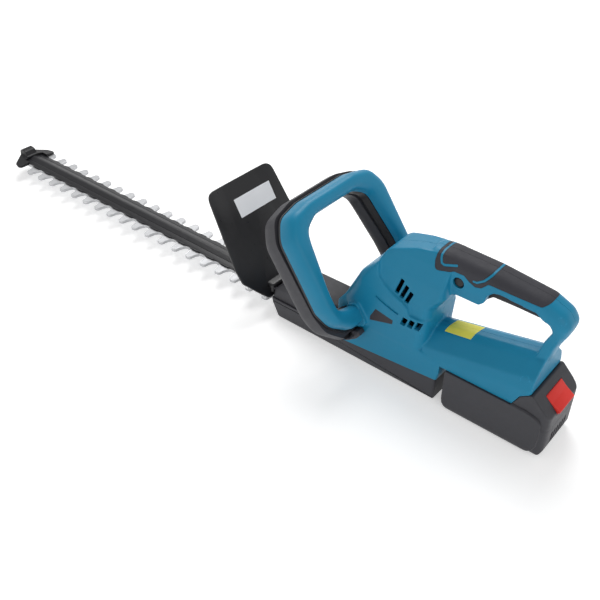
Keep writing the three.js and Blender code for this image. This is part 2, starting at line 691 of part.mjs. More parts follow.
const gripOutline = [
  [-98, 169, 8], [-119, 174, 4], [-130, 174, 4], [-137, 169, 3], [-144, 166, 4], [-151, 168, 4], [-158, 176, 4],
  [-216, 175, 5], [-232, 187, 8], [-229, 206, 8], [-104, 208, 8], [-95, 190, 8], [-95, 178, 8],
];
const housingScrews = [[4, 70], [-92, 86], [-222, 92], [-90, 177], [-236.5, 165.5]];
const screwHeadY = -12;
const screwTipY = 11;

// dome that rises towards the rear below the handle
function deckBody(inset) {
  const geometry = extruded(insetOutline(deckCross, inset), 140, 0, inset > 0 ? 1 : 2);
  const climb = new THREE.Matrix4().makeBasis(
    new THREE.Vector3(0, 1, 0), new THREE.Vector3(0, 0, 1), new THREE.Vector3(-1, 0, deckRise));
  geometry.applyMatrix4(climb).translate(deckStartX, 0, deckStartZ);
  const index = geometry.index ? geometry : mergeVertices(geometry);
  index.index.array.reverse();
  return solidOf(index);
}

function gripHandle(inset) {
  const half = handleHalfWidth - inset;
  const round = Math.max(2, handleEdgeRound - inset);
  const steps = inset > 0 ? 1 : 2;
  const bar = acrossY(insetOutline(handleSide, inset), -half, half, round, steps, steps)
    .intersect(alongX(insetOutline(handleCross, inset), -300, 60, 0, steps));
  return cut(bar, acrossY(insetOutline(fingerHole, -inset), -60, 60, 0, steps));
}

function motorBay(inset) {
  const half = bayHalfWidth - inset;
  const steps = inset > 0 ? 1 : 2;
  return acrossY(insetOutline(baySide, inset), -half, half, bayEdgeRound - inset, steps, steps)
    .intersect(alongX(insetOutline(bayCross, inset), -300, 60, 0, steps));
}

function housingOuter() {
  const side = acrossY(lowerSide, -bodyHalfWidth, bodyHalfWidth);
  const front = side.intersect(alongX(frontCross, -125, 60)).intersect(acrossY(frontSide, -60, 60));
  const rear = side.intersect(deckBody(0));
  return join(front, rear, motorBay(0), gripHandle(0), loopCollar(1), loopCollar(-1));
}

// collar on the side of the body that the loop's foot butts against
function loopCollar(side) {
  const corners = [[-loopDepth, loopFootT], [0.5, loopFootT], [0.5, loopFootT + loopFootThickness],
    [-loopDepth, loopFootT + loopFootThickness]];
  const outline = corners.map(([w, t]) => [
    loopCentreX + t * Math.sin(loopTilt) + w * Math.cos(loopTilt),
    loopCentreZ + t * Math.cos(loopTilt) - w * Math.sin(loopTilt), 7]);
  const collar = acrossY(outline, bodyHalfWidth - 12, loopEndY - seatGap);
  return side > 0 ? collar : mirroredY(collar);
}

function housingInner() {
  const lowerFront = acrossY([[bodyFrontX - wall, 0], [bodyFrontX - wall, 80, 4], [3, 94, 10], [-60, 114], [-112, 101],
    [bayFrontX + wall, 92], [bayFrontX + wall, bayFloorZ], [coverRearX + wall, 40], [coverRearX + wall, 0]],
  -bodyHalfWidth, bodyHalfWidth, 0, 1).intersect(alongX(insetOutline(frontCross, wall), -300, 60, 0, 1));
  const lowerRear = acrossY([[-119, railTopZ + 3.4], [-119, 130], [bodyRearX + wall, 130], [bodyRearX + wall, 83],
    [-224, railTopZ + 6], [-219, railTopZ + 3.4]], -bodyHalfWidth, bodyHalfWidth);
  const frontOfChannel = block(packFrontX + 0.1, -110, -22, 22, bayFloorZ + 3, 84);
  const rear = join(lowerRear, frontOfChannel).intersect(deckBody(wall));
  const front = lowerFront.intersect(join(deckBody(wall), acrossY(insetOutline(frontSide, wall), -60, 60, 0, 1)));
  return join(front, rear, motorBay(wall), gripHandle(wall + gripPadThickness));
}

function housingBosses() {
  const screwBosses = housingScrews.map(([x, z], i) => {
    const reach = i < 3 ? bodyHalfWidth - 1 : handleHalfWidth - 2;
    return rodY(x, z, -reach, reach, 5, 10);
  });
  const pinBoss = rodY(triggerPivotX, triggerPivotZ, -handleHalfWidth, handleHalfWidth, 4.5, 10);
  const leverBosses = [-1, 1].map((side) => rodY(leverPivot.x, leverPivot.z,
    side > 0 ? 23 : -bodyHalfWidth + 0.5, side > 0 ? bodyHalfWidth - 0.5 : -23, 5.6, 12));
  const rearScrewBosses = coverScrews.slice(2).map(([x, y]) => join(
    rodZ(x, y, seamZ(x) + seatGap + 0.2, seamZ(x) + 15, 5.4, 10),
    block(x - 2, x + 2, Math.sign(y) > 0 ? y : -bodyHalfWidth + 1, Math.sign(y) > 0 ? bodyHalfWidth - 1 : y,
      seamZ(x) + 3, seamZ(x) + 15)));
  const boardPosts = [-204, -172].map((x) => block(x - 2, x + 2, -14, 14, railTopZ + 1, boardLowZ - seatGap));
  return join(...screwBosses, pinBoss, ...leverBosses, ...rearScrewBosses, ...boardPosts);
}

const loopEndY = 41;
const leverPivot = {
  x: loopCentreX + leverPivotT * Math.sin(loopTilt) + leverPivotW * Math.cos(loopTilt),
  z: loopCentreZ + leverPivotT * Math.cos(loopTilt) - leverPivotW * Math.sin(loopTilt),
};
const boardLowZ = 80;
const triggerSlotHalf = triggerHalfWidth + runningGap;

function ventSlots() {
  const slots = [];
  for (let i = 0; i < 3; i += 1) {
    const x = -58 - 9 * i;
    slots.push([[x, 124 - 3 * i], [x - 4.4, 122 - 3 * i], [x - 7, 143 - 3 * i], [x - 2.6, 145 - 3 * i]]);
    const lowX = -69 - 10 * i;
    slots.push([[lowX, 92 - i], [lowX - 6, 91 - i], [lowX - 7, 100 - i], [lowX - 1, 101 - i]]);
  }
  return join(...slots.map((outline) => acrossY(outline, -60, 60)));
}

function housingCuts() {
  const noseOpening = block(noseRearX - 3, 30, -noseHalfWidth - 0.6, noseHalfWidth + 0.6, 0, noseTopZ + 2);
  const flangeOpening = block(noseRearX - 3, 30, -bodyHalfWidth + wall, bodyHalfWidth - wall, 0, caseLowZ + 5.2);
  const stem = block(-260, packFrontX - 3, -railStemHalf - 0.5, railStemHalf + 0.5, 50, railTopZ + 0.6);
  const wings = block(-260, packFrontX - 3, -railWingHalf - 0.5, railWingHalf + 0.5, railWingZ - 0.5, railTopZ + 0.6);
  const contactWindow = block(packFrontX - 6, packFrontX + 2, -14, 14, 60.5, 69);
  const triggerSlot = acrossY([[-106, 134], [-219, 134], [-219, 178], [-106, 178]], -triggerSlotHalf, triggerSlotHalf);
  const lockHole = rodY(lockX, lockZ, -60, 60, lockRadius + runningGap, 20);
  const pinHole = rodY(triggerPivotX, triggerPivotZ, -triggerPinHalf - seatGap, triggerPinHalf + seatGap,
    pivotPinRadius + seatGap, 10);
  const spigotHoles = rodY(spigotAt.x, spigotAt.z, -60, 60, spigotRadius + seatGap, 12);
  const leverHoles = [-1, 1].map((side) => rodY(leverPivot.x, leverPivot.z, side > 0 ? 25 : -60, side > 0 ? 60 : -25,
    leverScrewRadius + seatGap, 12));
  const rearScrewHoles = coverScrews.slice(2)
    .map(([x, y]) => rodZ(x, y, 0, seamZ(x) + 12, coverScrewShankRadius + seatGap, 8));
  return join(noseOpening, flangeOpening, stem, wings, contactWindow, triggerSlot, lockHole, pinHole, spigotHoles,
    ...leverHoles, ...rearScrewHoles, ventSlots());
}

const leverScrewRadius = 3;
const spigotRadius = 6;
const spigotAt = {
  x: loopCentreX + (loopFootT + 15) * Math.sin(loopTilt) - 9.5 * Math.cos(loopTilt),
  z: loopCentreZ + (loopFootT + 15) * Math.cos(loopTilt) + 9.5 * Math.sin(loopTilt),
};

// region that the soft grip covers, and the core that it lies on
function gripSkin(extra) {
  const region = acrossY(insetOutline(gripOutline, -extra), -60, 60);
  const depth = gripPadThickness + extra;
  const core = join(gripHandle(depth), motorBay(depth));
  return { region, core };
}

function housingHalf(side) {
  const outer = housingOuter();
  const shell = cut(outer, housingInner());
  const { region, core } = gripSkin(seatGap);
  const bosses = housingBosses().intersect(outer);
  const screwHoles = housingScrews.map(([x, z]) => join(
    rodY(x, z, screwHeadY - 3, screwTipY + seatGap, 1.7 + seatGap, 8),
    rodY(x, z, -60, screwHeadY, 3.2 + runningGap, 10)));
  const keep = side > 0 ? block(-300, 60, seatGap / 2, 60, 0, 260) : block(-300, 60, -60, -seatGap / 2, 0, 260);
  const padRecess = cut(region, core);
  const whole = cut(join(shell, bosses), housingCuts(), ...screwHoles, padRecess);
  return whole.intersect(keep);
}

function gripPad(side) {
  const { region, core } = gripSkin(0);
  const keep = side > 0 ? block(-300, 60, seatGap / 2, 60, 140, 260) : block(-300, 60, -60, -seatGap / 2, 140, 260);
  const lockRoom = rodY(lockX, lockZ, -60, 60, lockRadius + 3, 24);
  return cut(join(gripHandle(0), motorBay(0)).intersect(region), core, lockRoom).intersect(keep);
}

function housingScrew([x, z]) {
  const head = rodY(x, z, screwHeadY - 2.6, screwHeadY - seatGap, 3.2, 10);
  const shank = rodY(x, z, screwHeadY - 0.6, screwTipY, 1.7, 8);
  return join(head, shank);
}

// ---------------------------------------------------------------- rear controls

function triggerLever() {
  const outline = [
    [triggerPivotX + 4, 151, 3], [triggerPivotX - 4, 145, 2], [-124, 142.6, 2], [-150, 142.5, 4], [-155, 149, 3],
    [-161, 154.5, 4], [-188, 155, 10], [-213, 154.5, 3], [-216, 158, 3], [-215, triggerTopZ - 0.5, 3], [-190, triggerTopZ],
    [-160, triggerTopZ, 4], [-150, 158, 6], [-132, 152, 4], [triggerPivotX - 4, 157.5, 3], [triggerPivotX + 4, 157.5, 3],
  ];
  const lever = acrossY(outline, -triggerHalfWidth, triggerHalfWidth, 1.2, 1);
  return cut(lever, rodY(triggerPivotX, triggerPivotZ, -20, 20, pivotPinRadius + seatGap, 14));
}

function lockButton() {
  const half = handleHalfWidth - 1;
  return rodY(lockX, lockZ, -half, half, lockRadius, 24);
}

function rearSwitch() {
  const body = block(-174, -150, -5, 5, 172.5, 181);
  const plunger = rodZ(-166, 0, triggerTopZ + 3.7, 173, 1.5, 10);
  return join(body, plunger);
}

// ---------------------------------------------------------------- front loop handle

const loopMatrix = new THREE.Matrix4().makeBasis(
  new THREE.Vector3(0, 1, 0),
  new THREE.Vector3(Math.sin(loopTilt), 0, Math.cos(loopTilt)),
  new THREE.Vector3(Math.cos(loopTilt), 0, -Math.sin(loopTilt)));
loopMatrix.setPosition(loopCentreX, 0, loopCentreZ);

// outline of the loop in its own plane, shrunk by inset; its feet run in past the body's side
function loopOutline(inset) {
  const out = loopHalfWidth - inset;
  const inner = loopHalfWidth - loopLegThickness + inset;
  const top = loopTopT - inset;
  const innerTop = loopTopT - loopTopThickness + inset;
  const foot = loopFootT + inset;
  const innerFoot = loopFootT + loopFootThickness - inset;
  const footEnd = bodyHalfWidth - 6;
  const half = [
    [footEnd, foot], [58, foot + 1, 12], [80, foot + 19, 24], [out, foot + 42, 16], [out, 6, 30],
    [out - 15, top - 8, 22], [out - 46, top - 1, 30],
  ];
  const innerHalf = [
    [inner - 25, innerTop, 20], [inner - 7, innerTop - 11, 18], [inner + 4, innerFoot + 44, 24], [inner + 4, innerFoot + 13, 14],
    [footEnd, innerFoot],
  ];
  const flip = ([y, t, r]) => [-y, t, r];
  return [...half, ...half.slice().reverse().map(flip), ...innerHalf.slice().reverse().map(flip), ...innerHalf];
}

function inLoop(points, wLow, wHigh, bevel, curveSegments = 2, bevelSegments = 1) {
  const geometry = extruded(points, wHigh - wLow, bevel, curveSegments, bevelSegments);
  return solidOf(geometry.translate(0, 0, wLow));
}

function loopBlock(y0, y1, t0, t1, w0, w1) {
  return block(y0, y1, t0, t1, w0, w1);
}

const footFaceY = bodyHalfWidth + seatGap;
const outsideCollar = (solid) => cut(solid, loopBlock(-loopEndY, loopEndY, -200, 0, -60, 80));

const springT = -30;
const springY = loopHalfWidth - loopLegThickness / 2;
const springRadius = 3.6;

function loopHandle() {
  const round = inLoop(loopOutline(0), -loopDepth, 2 * loopDepth, 5.5, 2, 2);
  const rear = round.intersect(loopBlock(-200, 200, -200, 200, -60, 0));
  const channel = inLoop(loopOutline(4.5), -loopDepth + 4, 10, 0, 1)
    .intersect(loopBlock(-200, 200, loopFootT + 34, 200, -60, 60));
  const spigots = [-1, 1].map((side) => {
    const geometry = new THREE.CylinderGeometry(spigotRadius, spigotRadius, 16, 10);
    geometry.rotateZ(Math.PI / 2).translate(side * (loopEndY - 2), loopFootT + 15, -9.5);
    return solidOf(geometry);
  });
  return join(outsideCollar(cut(rear, channel)), ...spigots);
}

function loopCover() {
  const plate = inLoop(loopOutline(2.5), seatGap, seatGap + loopCoverThickness, 0);
  const holes = [-1, 1].map((side) => rodZ(side * springY, springT, -1, 10, springRadius + 1.2, 10));
  const plungerHole = rodZ(0, loopTopT - 13, -1, 10, 2.2, 10);
  return outsideCollar(cut(plate, ...holes, plungerHole));
}

const leverLowW = seatGap + loopCoverThickness + 0.8;

function switchLever() {
  const low = leverLowW;
  const high = low + barLeverDepth;
  const round = inLoop(loopOutline(0.6), low, high, 5);
  const ear = (side) => {
    const y0 = side > 0 ? footFaceY + 0.4 : -footFaceY - 0.4 - earThickness;
    const outline = [[-3, loopFootT - 12], [25, loopFootT - 13], [27, loopFootT + 14], [low + 1, loopFootT + 10],
      [low + 1, loopFootT - 2], [-3, loopFootT - 2.5]];
    const geometry = extruded(outline.map(([w, t]) => [w, t, 3]), earThickness, 0, 2);
    const turn = new THREE.Matrix4().makeBasis(
      new THREE.Vector3(0, 0, 1), new THREE.Vector3(0, 1, 0), new THREE.Vector3(-1, 0, 0));
    return solidOf(geometry.applyMatrix4(turn).translate(y0 + earThickness, 0, 0));
  };
  const innerCut = loopBlock(-footFaceY - 0.4, footFaceY + 0.4, -200, 0, -60, 80);
  const rodAt = (y0, y1, radius) => {
    const geometry = new THREE.CylinderGeometry(radius, radius, y1 - y0, 14);
    return solidOf(geometry.rotateZ(Math.PI / 2).translate((y0 + y1) / 2, leverPivotT, leverPivotW));
  };
  const headFloor = footFaceY + 0.4 + earThickness - 3;
  const bores = [rodAt(-100, 100, leverScrewRadius + seatGap), rodAt(headFloor, 100, 5.2), rodAt(-100, -headFloor, 5.2)];
  const springSeats = [-1, 1].map((side) => rodZ(side * springY, springT, low - 1, low + 4, springRadius + 1.2, 10));
  return cut(join(round, ear(1), ear(-1)), innerCut, ...bores, ...springSeats);
}

function leverScrew(side) {
  const headFloor = footFaceY + 0.4 + earThickness - 3;
  const head = rodY(leverPivot.x, leverPivot.z, headFloor + seatGap, headFloor + 2.8, 4.6, 16);
  const shank = rodY(leverPivot.x, leverPivot.z, 25.4, headFloor + 1, leverScrewRadius, 16);
  const screw = join(head, shank);
  return side > 0 ? screw : mirroredY(screw);
}

function frontSwitch() {
  const body = loopBlock(-10, 10, loopTopT - 18, loopTopT - 7, -loopDepth + 4.3, -seatGap);
  const plunger = rodZ(0, loopTopT - 13, -1, 5, 1.6, 10);
  return join(body, plunger);
}

// ---------------------------------------------------------------- hand guard

function guardX(z) {
  return guardFootX + guardTiltRun * z;
}

function handGuard() {
  const tilt = Math.atan(guardTiltRun);
  const slope = 1 / Math.cos(tilt);
  const front = [
    [-guardBottomHalf, guardBottomZ * slope, 8], [guardBottomHalf, guardBottomZ * slope, 8],
    [guardWideHalf - 2, (guardWideZ - 6) * slope, 8], [guardWideHalf, (guardWideZ + 10) * slope, 20],
    [guardTopHalf, guardTopZ * slope, 14], [-guardTopHalf, guardTopZ * slope, 14],
    [-guardWideHalf, (guardWideZ + 10) * slope, 20], [-guardWideHalf + 2, (guardWideZ - 6) * slope, 8],
  ];
  const geometry = extruded(front, guardThickness, 0.8, 3);
  const turn = new THREE.Matrix4().makeBasis(
    new THREE.Vector3(0, 1, 0), new THREE.Vector3(Math.sin(tilt), 0, Math.cos(tilt)),
    new THREE.Vector3(Math.cos(tilt), 0, -Math.sin(tilt)));
  const plate = solidOf(geometry.applyMatrix4(turn).translate(guardFootX, 0, 0));
  const collarRear = noseToeX + seatGap;
  const collarLowZ = ridgeTopZ + 1.2;
  const collar = block(collarRear, collarRear + 24, -30, 30, collarLowZ, collarLowZ + 17)
    .intersect(acrossY([[60, 0], [guardX(0) + 1, 0], [guardX(200) + 1, 200], [60, 200]], -90, 90));
  const ridgeNotch = block(0, 400, -12, 12, -10, collarLowZ);
  const screwHoles = guardScrewY.map((y) => join(rodX(guardScrewZ, y, noseToeX - 10, 260, 2.6, 8),
    rodX(guardScrewZ, y, collarRear + 5, 260, 5, 12)));
  const noseRoom = block(60, collarRear, -90, 90, 0, 60);
  return cut(join(plate, collar), ridgeNotch, noseRoom, ...screwHoles);
}

const guardScrewY = [-23, 23];
const guardScrewZ = 36;

function rodX(z, y, x0, x1, radius, sides = 10) {
  const geometry = new THREE.CylinderGeometry(radius, radius, x1 - x0, sides);
  return solidOf(geometry.rotateZ(Math.PI / 2).translate((x0 + x1) / 2, y, z));
}

function guardScrew(y) {
  const head = rodX(guardScrewZ, y, noseToeX + 5.6, noseToeX + 8.4, 4.4, 12);
  const shank = rodX(guardScrewZ, y, noseToeX - 12, noseToeX + 6, 2.3, 8);
  return join(head, shank);
}

// ---------------------------------------------------------------- battery pack

const slopeTop = new THREE.Vector2(-235, 79);
const slopeEnd = new THREE.Vector2(packRearX, 57.5);
const slopeDir = slopeEnd.clone().sub(slopeTop).normalize();
const slopeOut = new THREE.Vector2(slopeDir.y, -slopeDir.x);

function onSlope(along, out) {
  const point = slopeTop.clone().addScaledVector(slopeDir, along).addScaledVector(slopeOut, out);
  return [point.x, point.y];
}

const buttonStart = 9.5;
const buttonEnd = 27.5;
const pocketDepth = 3.2;

function packLower() {
  const bottom = 0;
  const outer = acrossY([[packToeX, bottom, 14], [packRearX, bottom, 16], [packRearX, packSplitZ + 6],
    [packToeX, packSplitZ + 6]], -packHalfWidth, packHalfWidth, 3);
  const keep = block(-300, 0, -60, 60, -1, packSplitZ);
  const inner = acrossY([[packToeX - packWall, bottom + packWall, 12], [packRearX + packWall, bottom + packWall, 14],
    [packRearX + packWall, 80], [packToeX - packWall, 80]], -packHalfWidth + packWall, packHalfWidth - packWall);
  return cut(outer.intersect(keep), inner);
}

function packUpper() {
  const low = packSplitZ + seatGap;
  const deck = bayFloorZ - runningGap;
  const side = [
    [packToeX, low - 6], [packToeX, low + 3], [packFrontX, deck - 4], [packFrontX, deck, 2], [-214.4, deck], [-221.6, 71.4], [-232.8, 79], [slopeTop.x, slopeTop.y, 2],
    [slopeEnd.x, slopeEnd.y, 3], [packRearX, low - 6],
  ];
  const outer = acrossY(side, -packHalfWidth, packHalfWidth, 3);
  const keep = block(-300, 0, -60, 60, low, 200);
  const inner = acrossY([[packToeX - packWall, 0], [packToeX - packWall, low + 2], [packFrontX - packWall, deck - 5],
    [packFrontX - packWall, deck - packWall], [-216, deck - packWall],
    [-232, deck - 1], [packRearX + packWall, 47], [packRearX + packWall, 0]],
  -packHalfWidth + packWall, packHalfWidth - packWall);
  const stem = block(-218, packFrontX - 8, -railStemHalf, railStemHalf, deck - 1, railTopZ);
  const wings = block(-218, packFrontX - 8, -railWingHalf, railWingHalf, railWingZ, railTopZ);
  const contactSlots = [-8, 8].map((y) => block(packFrontX - 22, packFrontX - 6, y - 1.3, y + 1.3, 60.5, railTopZ + 1));
  const pocket = acrossY([onSlope(buttonStart - runningGap, -pocketDepth), onSlope(buttonStart - runningGap, 6),
    onSlope(buttonEnd + buttonTravel + 6, 6), onSlope(buttonEnd + buttonTravel + 6, -pocketDepth)],
  -buttonHalfWidth - runningGap, buttonHalfWidth + runningGap);
  return cut(join(cut(outer.intersect(keep), inner), stem, wings), ...contactSlots, pocket);
}

function releaseButton() {
  const plate = acrossY([onSlope(buttonStart, -pocketDepth + seatGap), onSlope(buttonStart, 0.9),
    onSlope(buttonEnd, 0.9), onSlope(buttonEnd, -pocketDepth + seatGap)], -buttonHalfWidth, buttonHalfWidth, 0.8);
  return plate;
}

function cellRow(z) {
  const firstX = (packToeX + packRearX) / 2 - ((cellsPerRow - 1) / 2) * cellPitch;
  const cellHalf = 32.5;
  const cells = Array.from({ length: cellsPerRow },
    (_, i) => rodY(firstX + i * cellPitch, z, -cellHalf, cellHalf, cellRadius, 10));
  const lastX = firstX + (cellsPerRow - 1) * cellPitch;
  const strips = [-1, 1].map((side) => block(firstX - 5, lastX + 5,
    side > 0 ? cellHalf - 0.3 : -cellHalf - 0.4, side > 0 ? cellHalf + 0.4 : -cellHalf + 0.3, z - 4, z + 4));
  return join(...cells, ...strips);
}

function terminalBlock() {
  const rear = packFrontX + 0.4;
  const body = block(rear, rear + 8, -13.5, 13.5, bayFloorZ + 3 + seatGap, 70);
  const blades = [-8, 8].map((y) => block(rear - 18, rear + 1, y - 0.5, y + 0.5, 62, 66));
  return join(body, ...blades);
}

function controlBoard() {
  const board = block(-216, -160, -18, 18, boardLowZ, boardLowZ + 1.6);
  const heatSink = block(-208, -190, -12, 12, boardLowZ + 1, boardLowZ + 12);
  const capacitor = rodZ(-172, 3, boardLowZ + 1, boardLowZ + 12, 5, 16);
  return join(board, heatSink, capacitor);
}

// ---------------------------------------------------------------- assembly

const trimmer = new THREE.Group();
const add = (...meshes) => trimmer.add(...meshes);

add(piece('housing_left', housingHalf(1), teal()));
add(piece('housing_right', housingHalf(-1), teal()));
add(piece('grip_left', gripPad(1), rubber()));
add(piece('grip_right', gripPad(-1), rubber()));
housingScrews.forEach((at, i) => add(piece(`housing_screw_${i + 1}`, housingScrew(at), darkSteel())));

add(piece('gear_cover', gearCover(), darkPlastic()));
add(piece('gear_case', gearCase(), darkPlastic()));
coverScrews.forEach((at, i) => add(piece(`cover_screw_${i + 1}`, coverScrew(at), darkSteel())));

add(piece('upper_blade', bladeSolid(upperBladeZ), steel()));
add(piece('lower_blade', bladeSolid(lowerBladeZ), steel()));
add(piece('guide_bar', guideBar(), blackPlastic()));
add(piece('tip_guard', tipGuard(), blackPlastic()));
add(piece('tip_screw', headedScrewZ(tipScrewX, 0, barBottomZ - 4, barBottomZ - seatGap, ridgeTopZ, 3.6, boltShankRadius),
  darkSteel()));
bladeBoltX().forEach((x, i) => add(piece(`blade_bolt_${i + 1}`, shoulderBolt(x, boltTipZ), darkSteel())));
frameBoltX.forEach((x, i) => add(piece(`frame_bolt_${i + 1}`, shoulderBolt(x, frameBoltTipZ), darkSteel())));

const journalGap = 0.1;
add(piece('crank_gear', crankGear(), steel()));
add(piece('crank_bearing_upper', ringZ(0, 0, upperBearingLowZ, upperBearingLowZ + bearingWidth,
  journalRadius + journalGap + 0.2, bearingOuterRadius), steel()));
add(piece('crank_bearing_lower', ringZ(0, 0, lowerBearingTopZ - bearingWidth, lowerBearingTopZ,
  journalRadius + journalGap + 0.2, bearingOuterRadius), steel()));
add(piece('motor_pinion', motorPinion(), steel()));
add(piece('motor_rotor', motorRotor(), copper()));
add(piece('cooling_fan', coolingFan(), blackPlastic()));
add(piece('motor_can', motorCan(), steel()));
add(piece('motor_end_cap', motorEndCap(), blackPlastic()));
add(piece('motor_magnet', motorMagnet(), darkSteel()));

add(piece('trigger', triggerLever(), blackPlastic()));
add(piece('trigger_pin', rodY(triggerPivotX, triggerPivotZ, -triggerPinHalf, triggerPinHalf, pivotPinRadius, 12), steel()));
add(piece('lock_button', lockButton(), blackPlastic()));
add(piece('rear_switch', rearSwitch(), blackPlastic()));

const triggerSpring = new THREE.Mesh(coil(triggerSpringRadius, triggerSpringWire,
  triggerSpringRoofZ - triggerTopZ - 0.7, 4), steel());
triggerSpring.name = 'trigger_spring';
triggerSpring.position.set(triggerSpringX, 0, triggerTopZ + 0.7);
add(triggerSpring);

const loopFrame = new THREE.Group();
loopFrame.applyMatrix4(loopMatrix);
loopFrame.add(piece('loop_handle', loopHandle(), teal()));
loopFrame.add(piece('loop_cover', loopCover(), blackPlastic()));
loopFrame.add(piece('front_switch', frontSwitch(), blackPlastic()));
add(loopFrame);

const leverHinge = new THREE.Group();
leverHinge.position.set(0, leverPivotT, leverPivotW);
leverHinge.rotation.x = leverRestTilt;
const leverMesh = piece('switch_lever', switchLever().translate([0, -leverPivotT, -leverPivotW]), darkPlastic());
leverHinge.add(leverMesh);
loopFrame.add(leverHinge);
add(piece('lever_screw_left', leverScrew(1), darkSteel()));
add(piece('lever_screw_right', leverScrew(-1), darkSteel()));
[1, -1].forEach((side) => {
  const spring = new THREE.Mesh(coil(springRadius - 0.6, 0.6, loopDepth + 6, 4), steel());
  spring.name = side > 0 ? 'lever_spring_left' : 'lever_spring_right';
  spring.position.set(side * springY, springT, -loopDepth + 4.3);
  loopFrame.add(spring);
});

add(piece('hand_guard', handGuard(), blackPlastic()));
guardScrewY.forEach((y, i) => add(piece(`guard_screw_${i + 1}`, guardScrew(y), darkSteel())));

add(piece('pack_lower_case', packLower(), darkPlastic()));
add(piece('pack_upper_case', packUpper(), darkPlastic()));
add(piece('release_button', releaseButton(), redPlastic()));
add(piece('cell_row_lower', cellRow(packWall + cellRadius + seatGap), steel()));
add(piece('cell_row_upper', cellRow(packWall + 3 * cellRadius + 1.2), steel()));
add(piece('terminal_block', terminalBlock(), blackPlastic()));
add(piece('control_board', controlBoard(), finish(0x2f6b3c, 0.6)));

export default trimmer;
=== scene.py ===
import math

import bmesh
import bpy
from mathutils import Matrix, Vector


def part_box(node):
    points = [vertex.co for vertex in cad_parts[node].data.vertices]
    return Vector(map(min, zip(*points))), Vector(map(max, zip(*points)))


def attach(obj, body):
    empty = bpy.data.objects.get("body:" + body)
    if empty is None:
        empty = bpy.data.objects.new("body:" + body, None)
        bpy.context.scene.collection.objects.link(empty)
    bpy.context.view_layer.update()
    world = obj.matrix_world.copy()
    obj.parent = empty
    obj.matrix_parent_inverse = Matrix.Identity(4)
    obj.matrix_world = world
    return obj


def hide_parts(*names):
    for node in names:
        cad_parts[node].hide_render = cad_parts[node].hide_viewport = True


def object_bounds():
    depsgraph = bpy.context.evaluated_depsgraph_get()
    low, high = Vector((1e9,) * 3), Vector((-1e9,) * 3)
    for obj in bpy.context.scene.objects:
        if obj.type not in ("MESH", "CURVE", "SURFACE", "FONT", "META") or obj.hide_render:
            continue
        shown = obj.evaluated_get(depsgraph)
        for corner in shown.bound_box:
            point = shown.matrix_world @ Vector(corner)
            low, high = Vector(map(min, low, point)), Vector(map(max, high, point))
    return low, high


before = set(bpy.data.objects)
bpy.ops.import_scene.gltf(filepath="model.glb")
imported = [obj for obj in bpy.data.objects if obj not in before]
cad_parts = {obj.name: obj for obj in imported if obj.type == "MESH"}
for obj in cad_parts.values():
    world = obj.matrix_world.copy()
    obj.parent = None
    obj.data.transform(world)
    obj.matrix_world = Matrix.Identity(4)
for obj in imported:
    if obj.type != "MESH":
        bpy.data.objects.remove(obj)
cad_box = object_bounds()

# ---- housing: two moulded shells ----
# Glass-filled nylon halves that meet on the middle plane and clamp the motor, the gear case and
# the switches. The low front body, the motor bay, the rear deck over the battery and the handle
# are one moulding, so their surfaces run into each other in soft fillets.

MM = 0.001
WALL = 2.6
PARTING = 0.15
VOXEL = 1.1
CLEAR = 60
NOSE_REAR = 12.3
SEAM = 22.3


def curved_corners(points, steps):
    """The outline with its corners [a, b, r] rounded to r, as (a, b) pairs."""
    result = []
    for i, point in enumerate(points):
        corner = Vector(point[:2])
        radius = point[2] if len(point) > 2 else 0
        inward = Vector(points[i - 1][:2]) - corner
        outward = Vector(points[(i + 1) % len(points)][:2]) - corner
        room = 0.48 * min(inward.length, outward.length)
        turn = math.pi - inward.angle(outward)
        setback = min(room, radius * abs(math.tan(turn / 2)))
        if setback < 0.05:
            result.append(tuple(corner))
            continue
        start = corner + inward.normalized() * setback
        end = corner + outward.normalized() * setback
        for k in range(steps + 1):
            t = k / steps
            result.append(tuple(start * (1 - t) ** 2 + corner * 2 * t * (1 - t) + end * t**2))
    return result


def inset(points, distance):
    """The outline [a, b, r] moved inwards by distance, its corner radii with it."""
    count = len(points)
    area = sum(points[i - 1][0] * points[i][1] - points[i][0] * points[i - 1][1] for i in range(count))
    side = 1 if area > 0 else -1
    result = []
    for i, point in enumerate(points):
        corner = Vector(point[:2])
        radius = point[2] if len(point) > 2 else 0
        before = (corner - Vector(points[i - 1][:2])).normalized()
        after = (Vector(points[(i + 1) % count][:2]) - corner).normalized()
        normal_before = Vector((-before.y, before.x)) * side
        normal_after = Vector((-after.y, after.x)) * side
        bisector = (normal_before + normal_after).normalized()
        reach = distance / max(0.35, bisector.dot(normal_before))
        convex = side * (before.x * after.y - before.y * after.x) > 0
        radius = max(0, radius - distance if convex else radius + distance)
        moved = corner + bisector * reach
        result.append((moved.x, moved.y, radius))
    return result


AXES = {
    "X": lambda a, b, c: Vector((c, a, b)),
    "Y": lambda a, b, c: Vector((a, c, b)),
    "Z": lambda a, b, c: Vector((a, b, c)),
}


def object_from(bm, name="form"):
    mesh = bpy.data.meshes.new(name)
    bm.to_mesh(mesh)
    bm.free()
    thing = bpy.data.objects.new(name, mesh)
    bpy.context.scene.collection.objects.link(thing)
    return thing


def extruded(bm, ring, rise):
    """Closes a ring of vertices with a face and carries that face along rise."""
    grown = bmesh.ops.extrude_face_region(bm, geom=[bm.faces.new(ring)])["geom"]
    bmesh.ops.translate(bm, verts=[v for v in grown if isinstance(v, bmesh.types.BMVert)], vec=rise)
    bmesh.ops.recalc_face_normals(bm, faces=bm.faces)


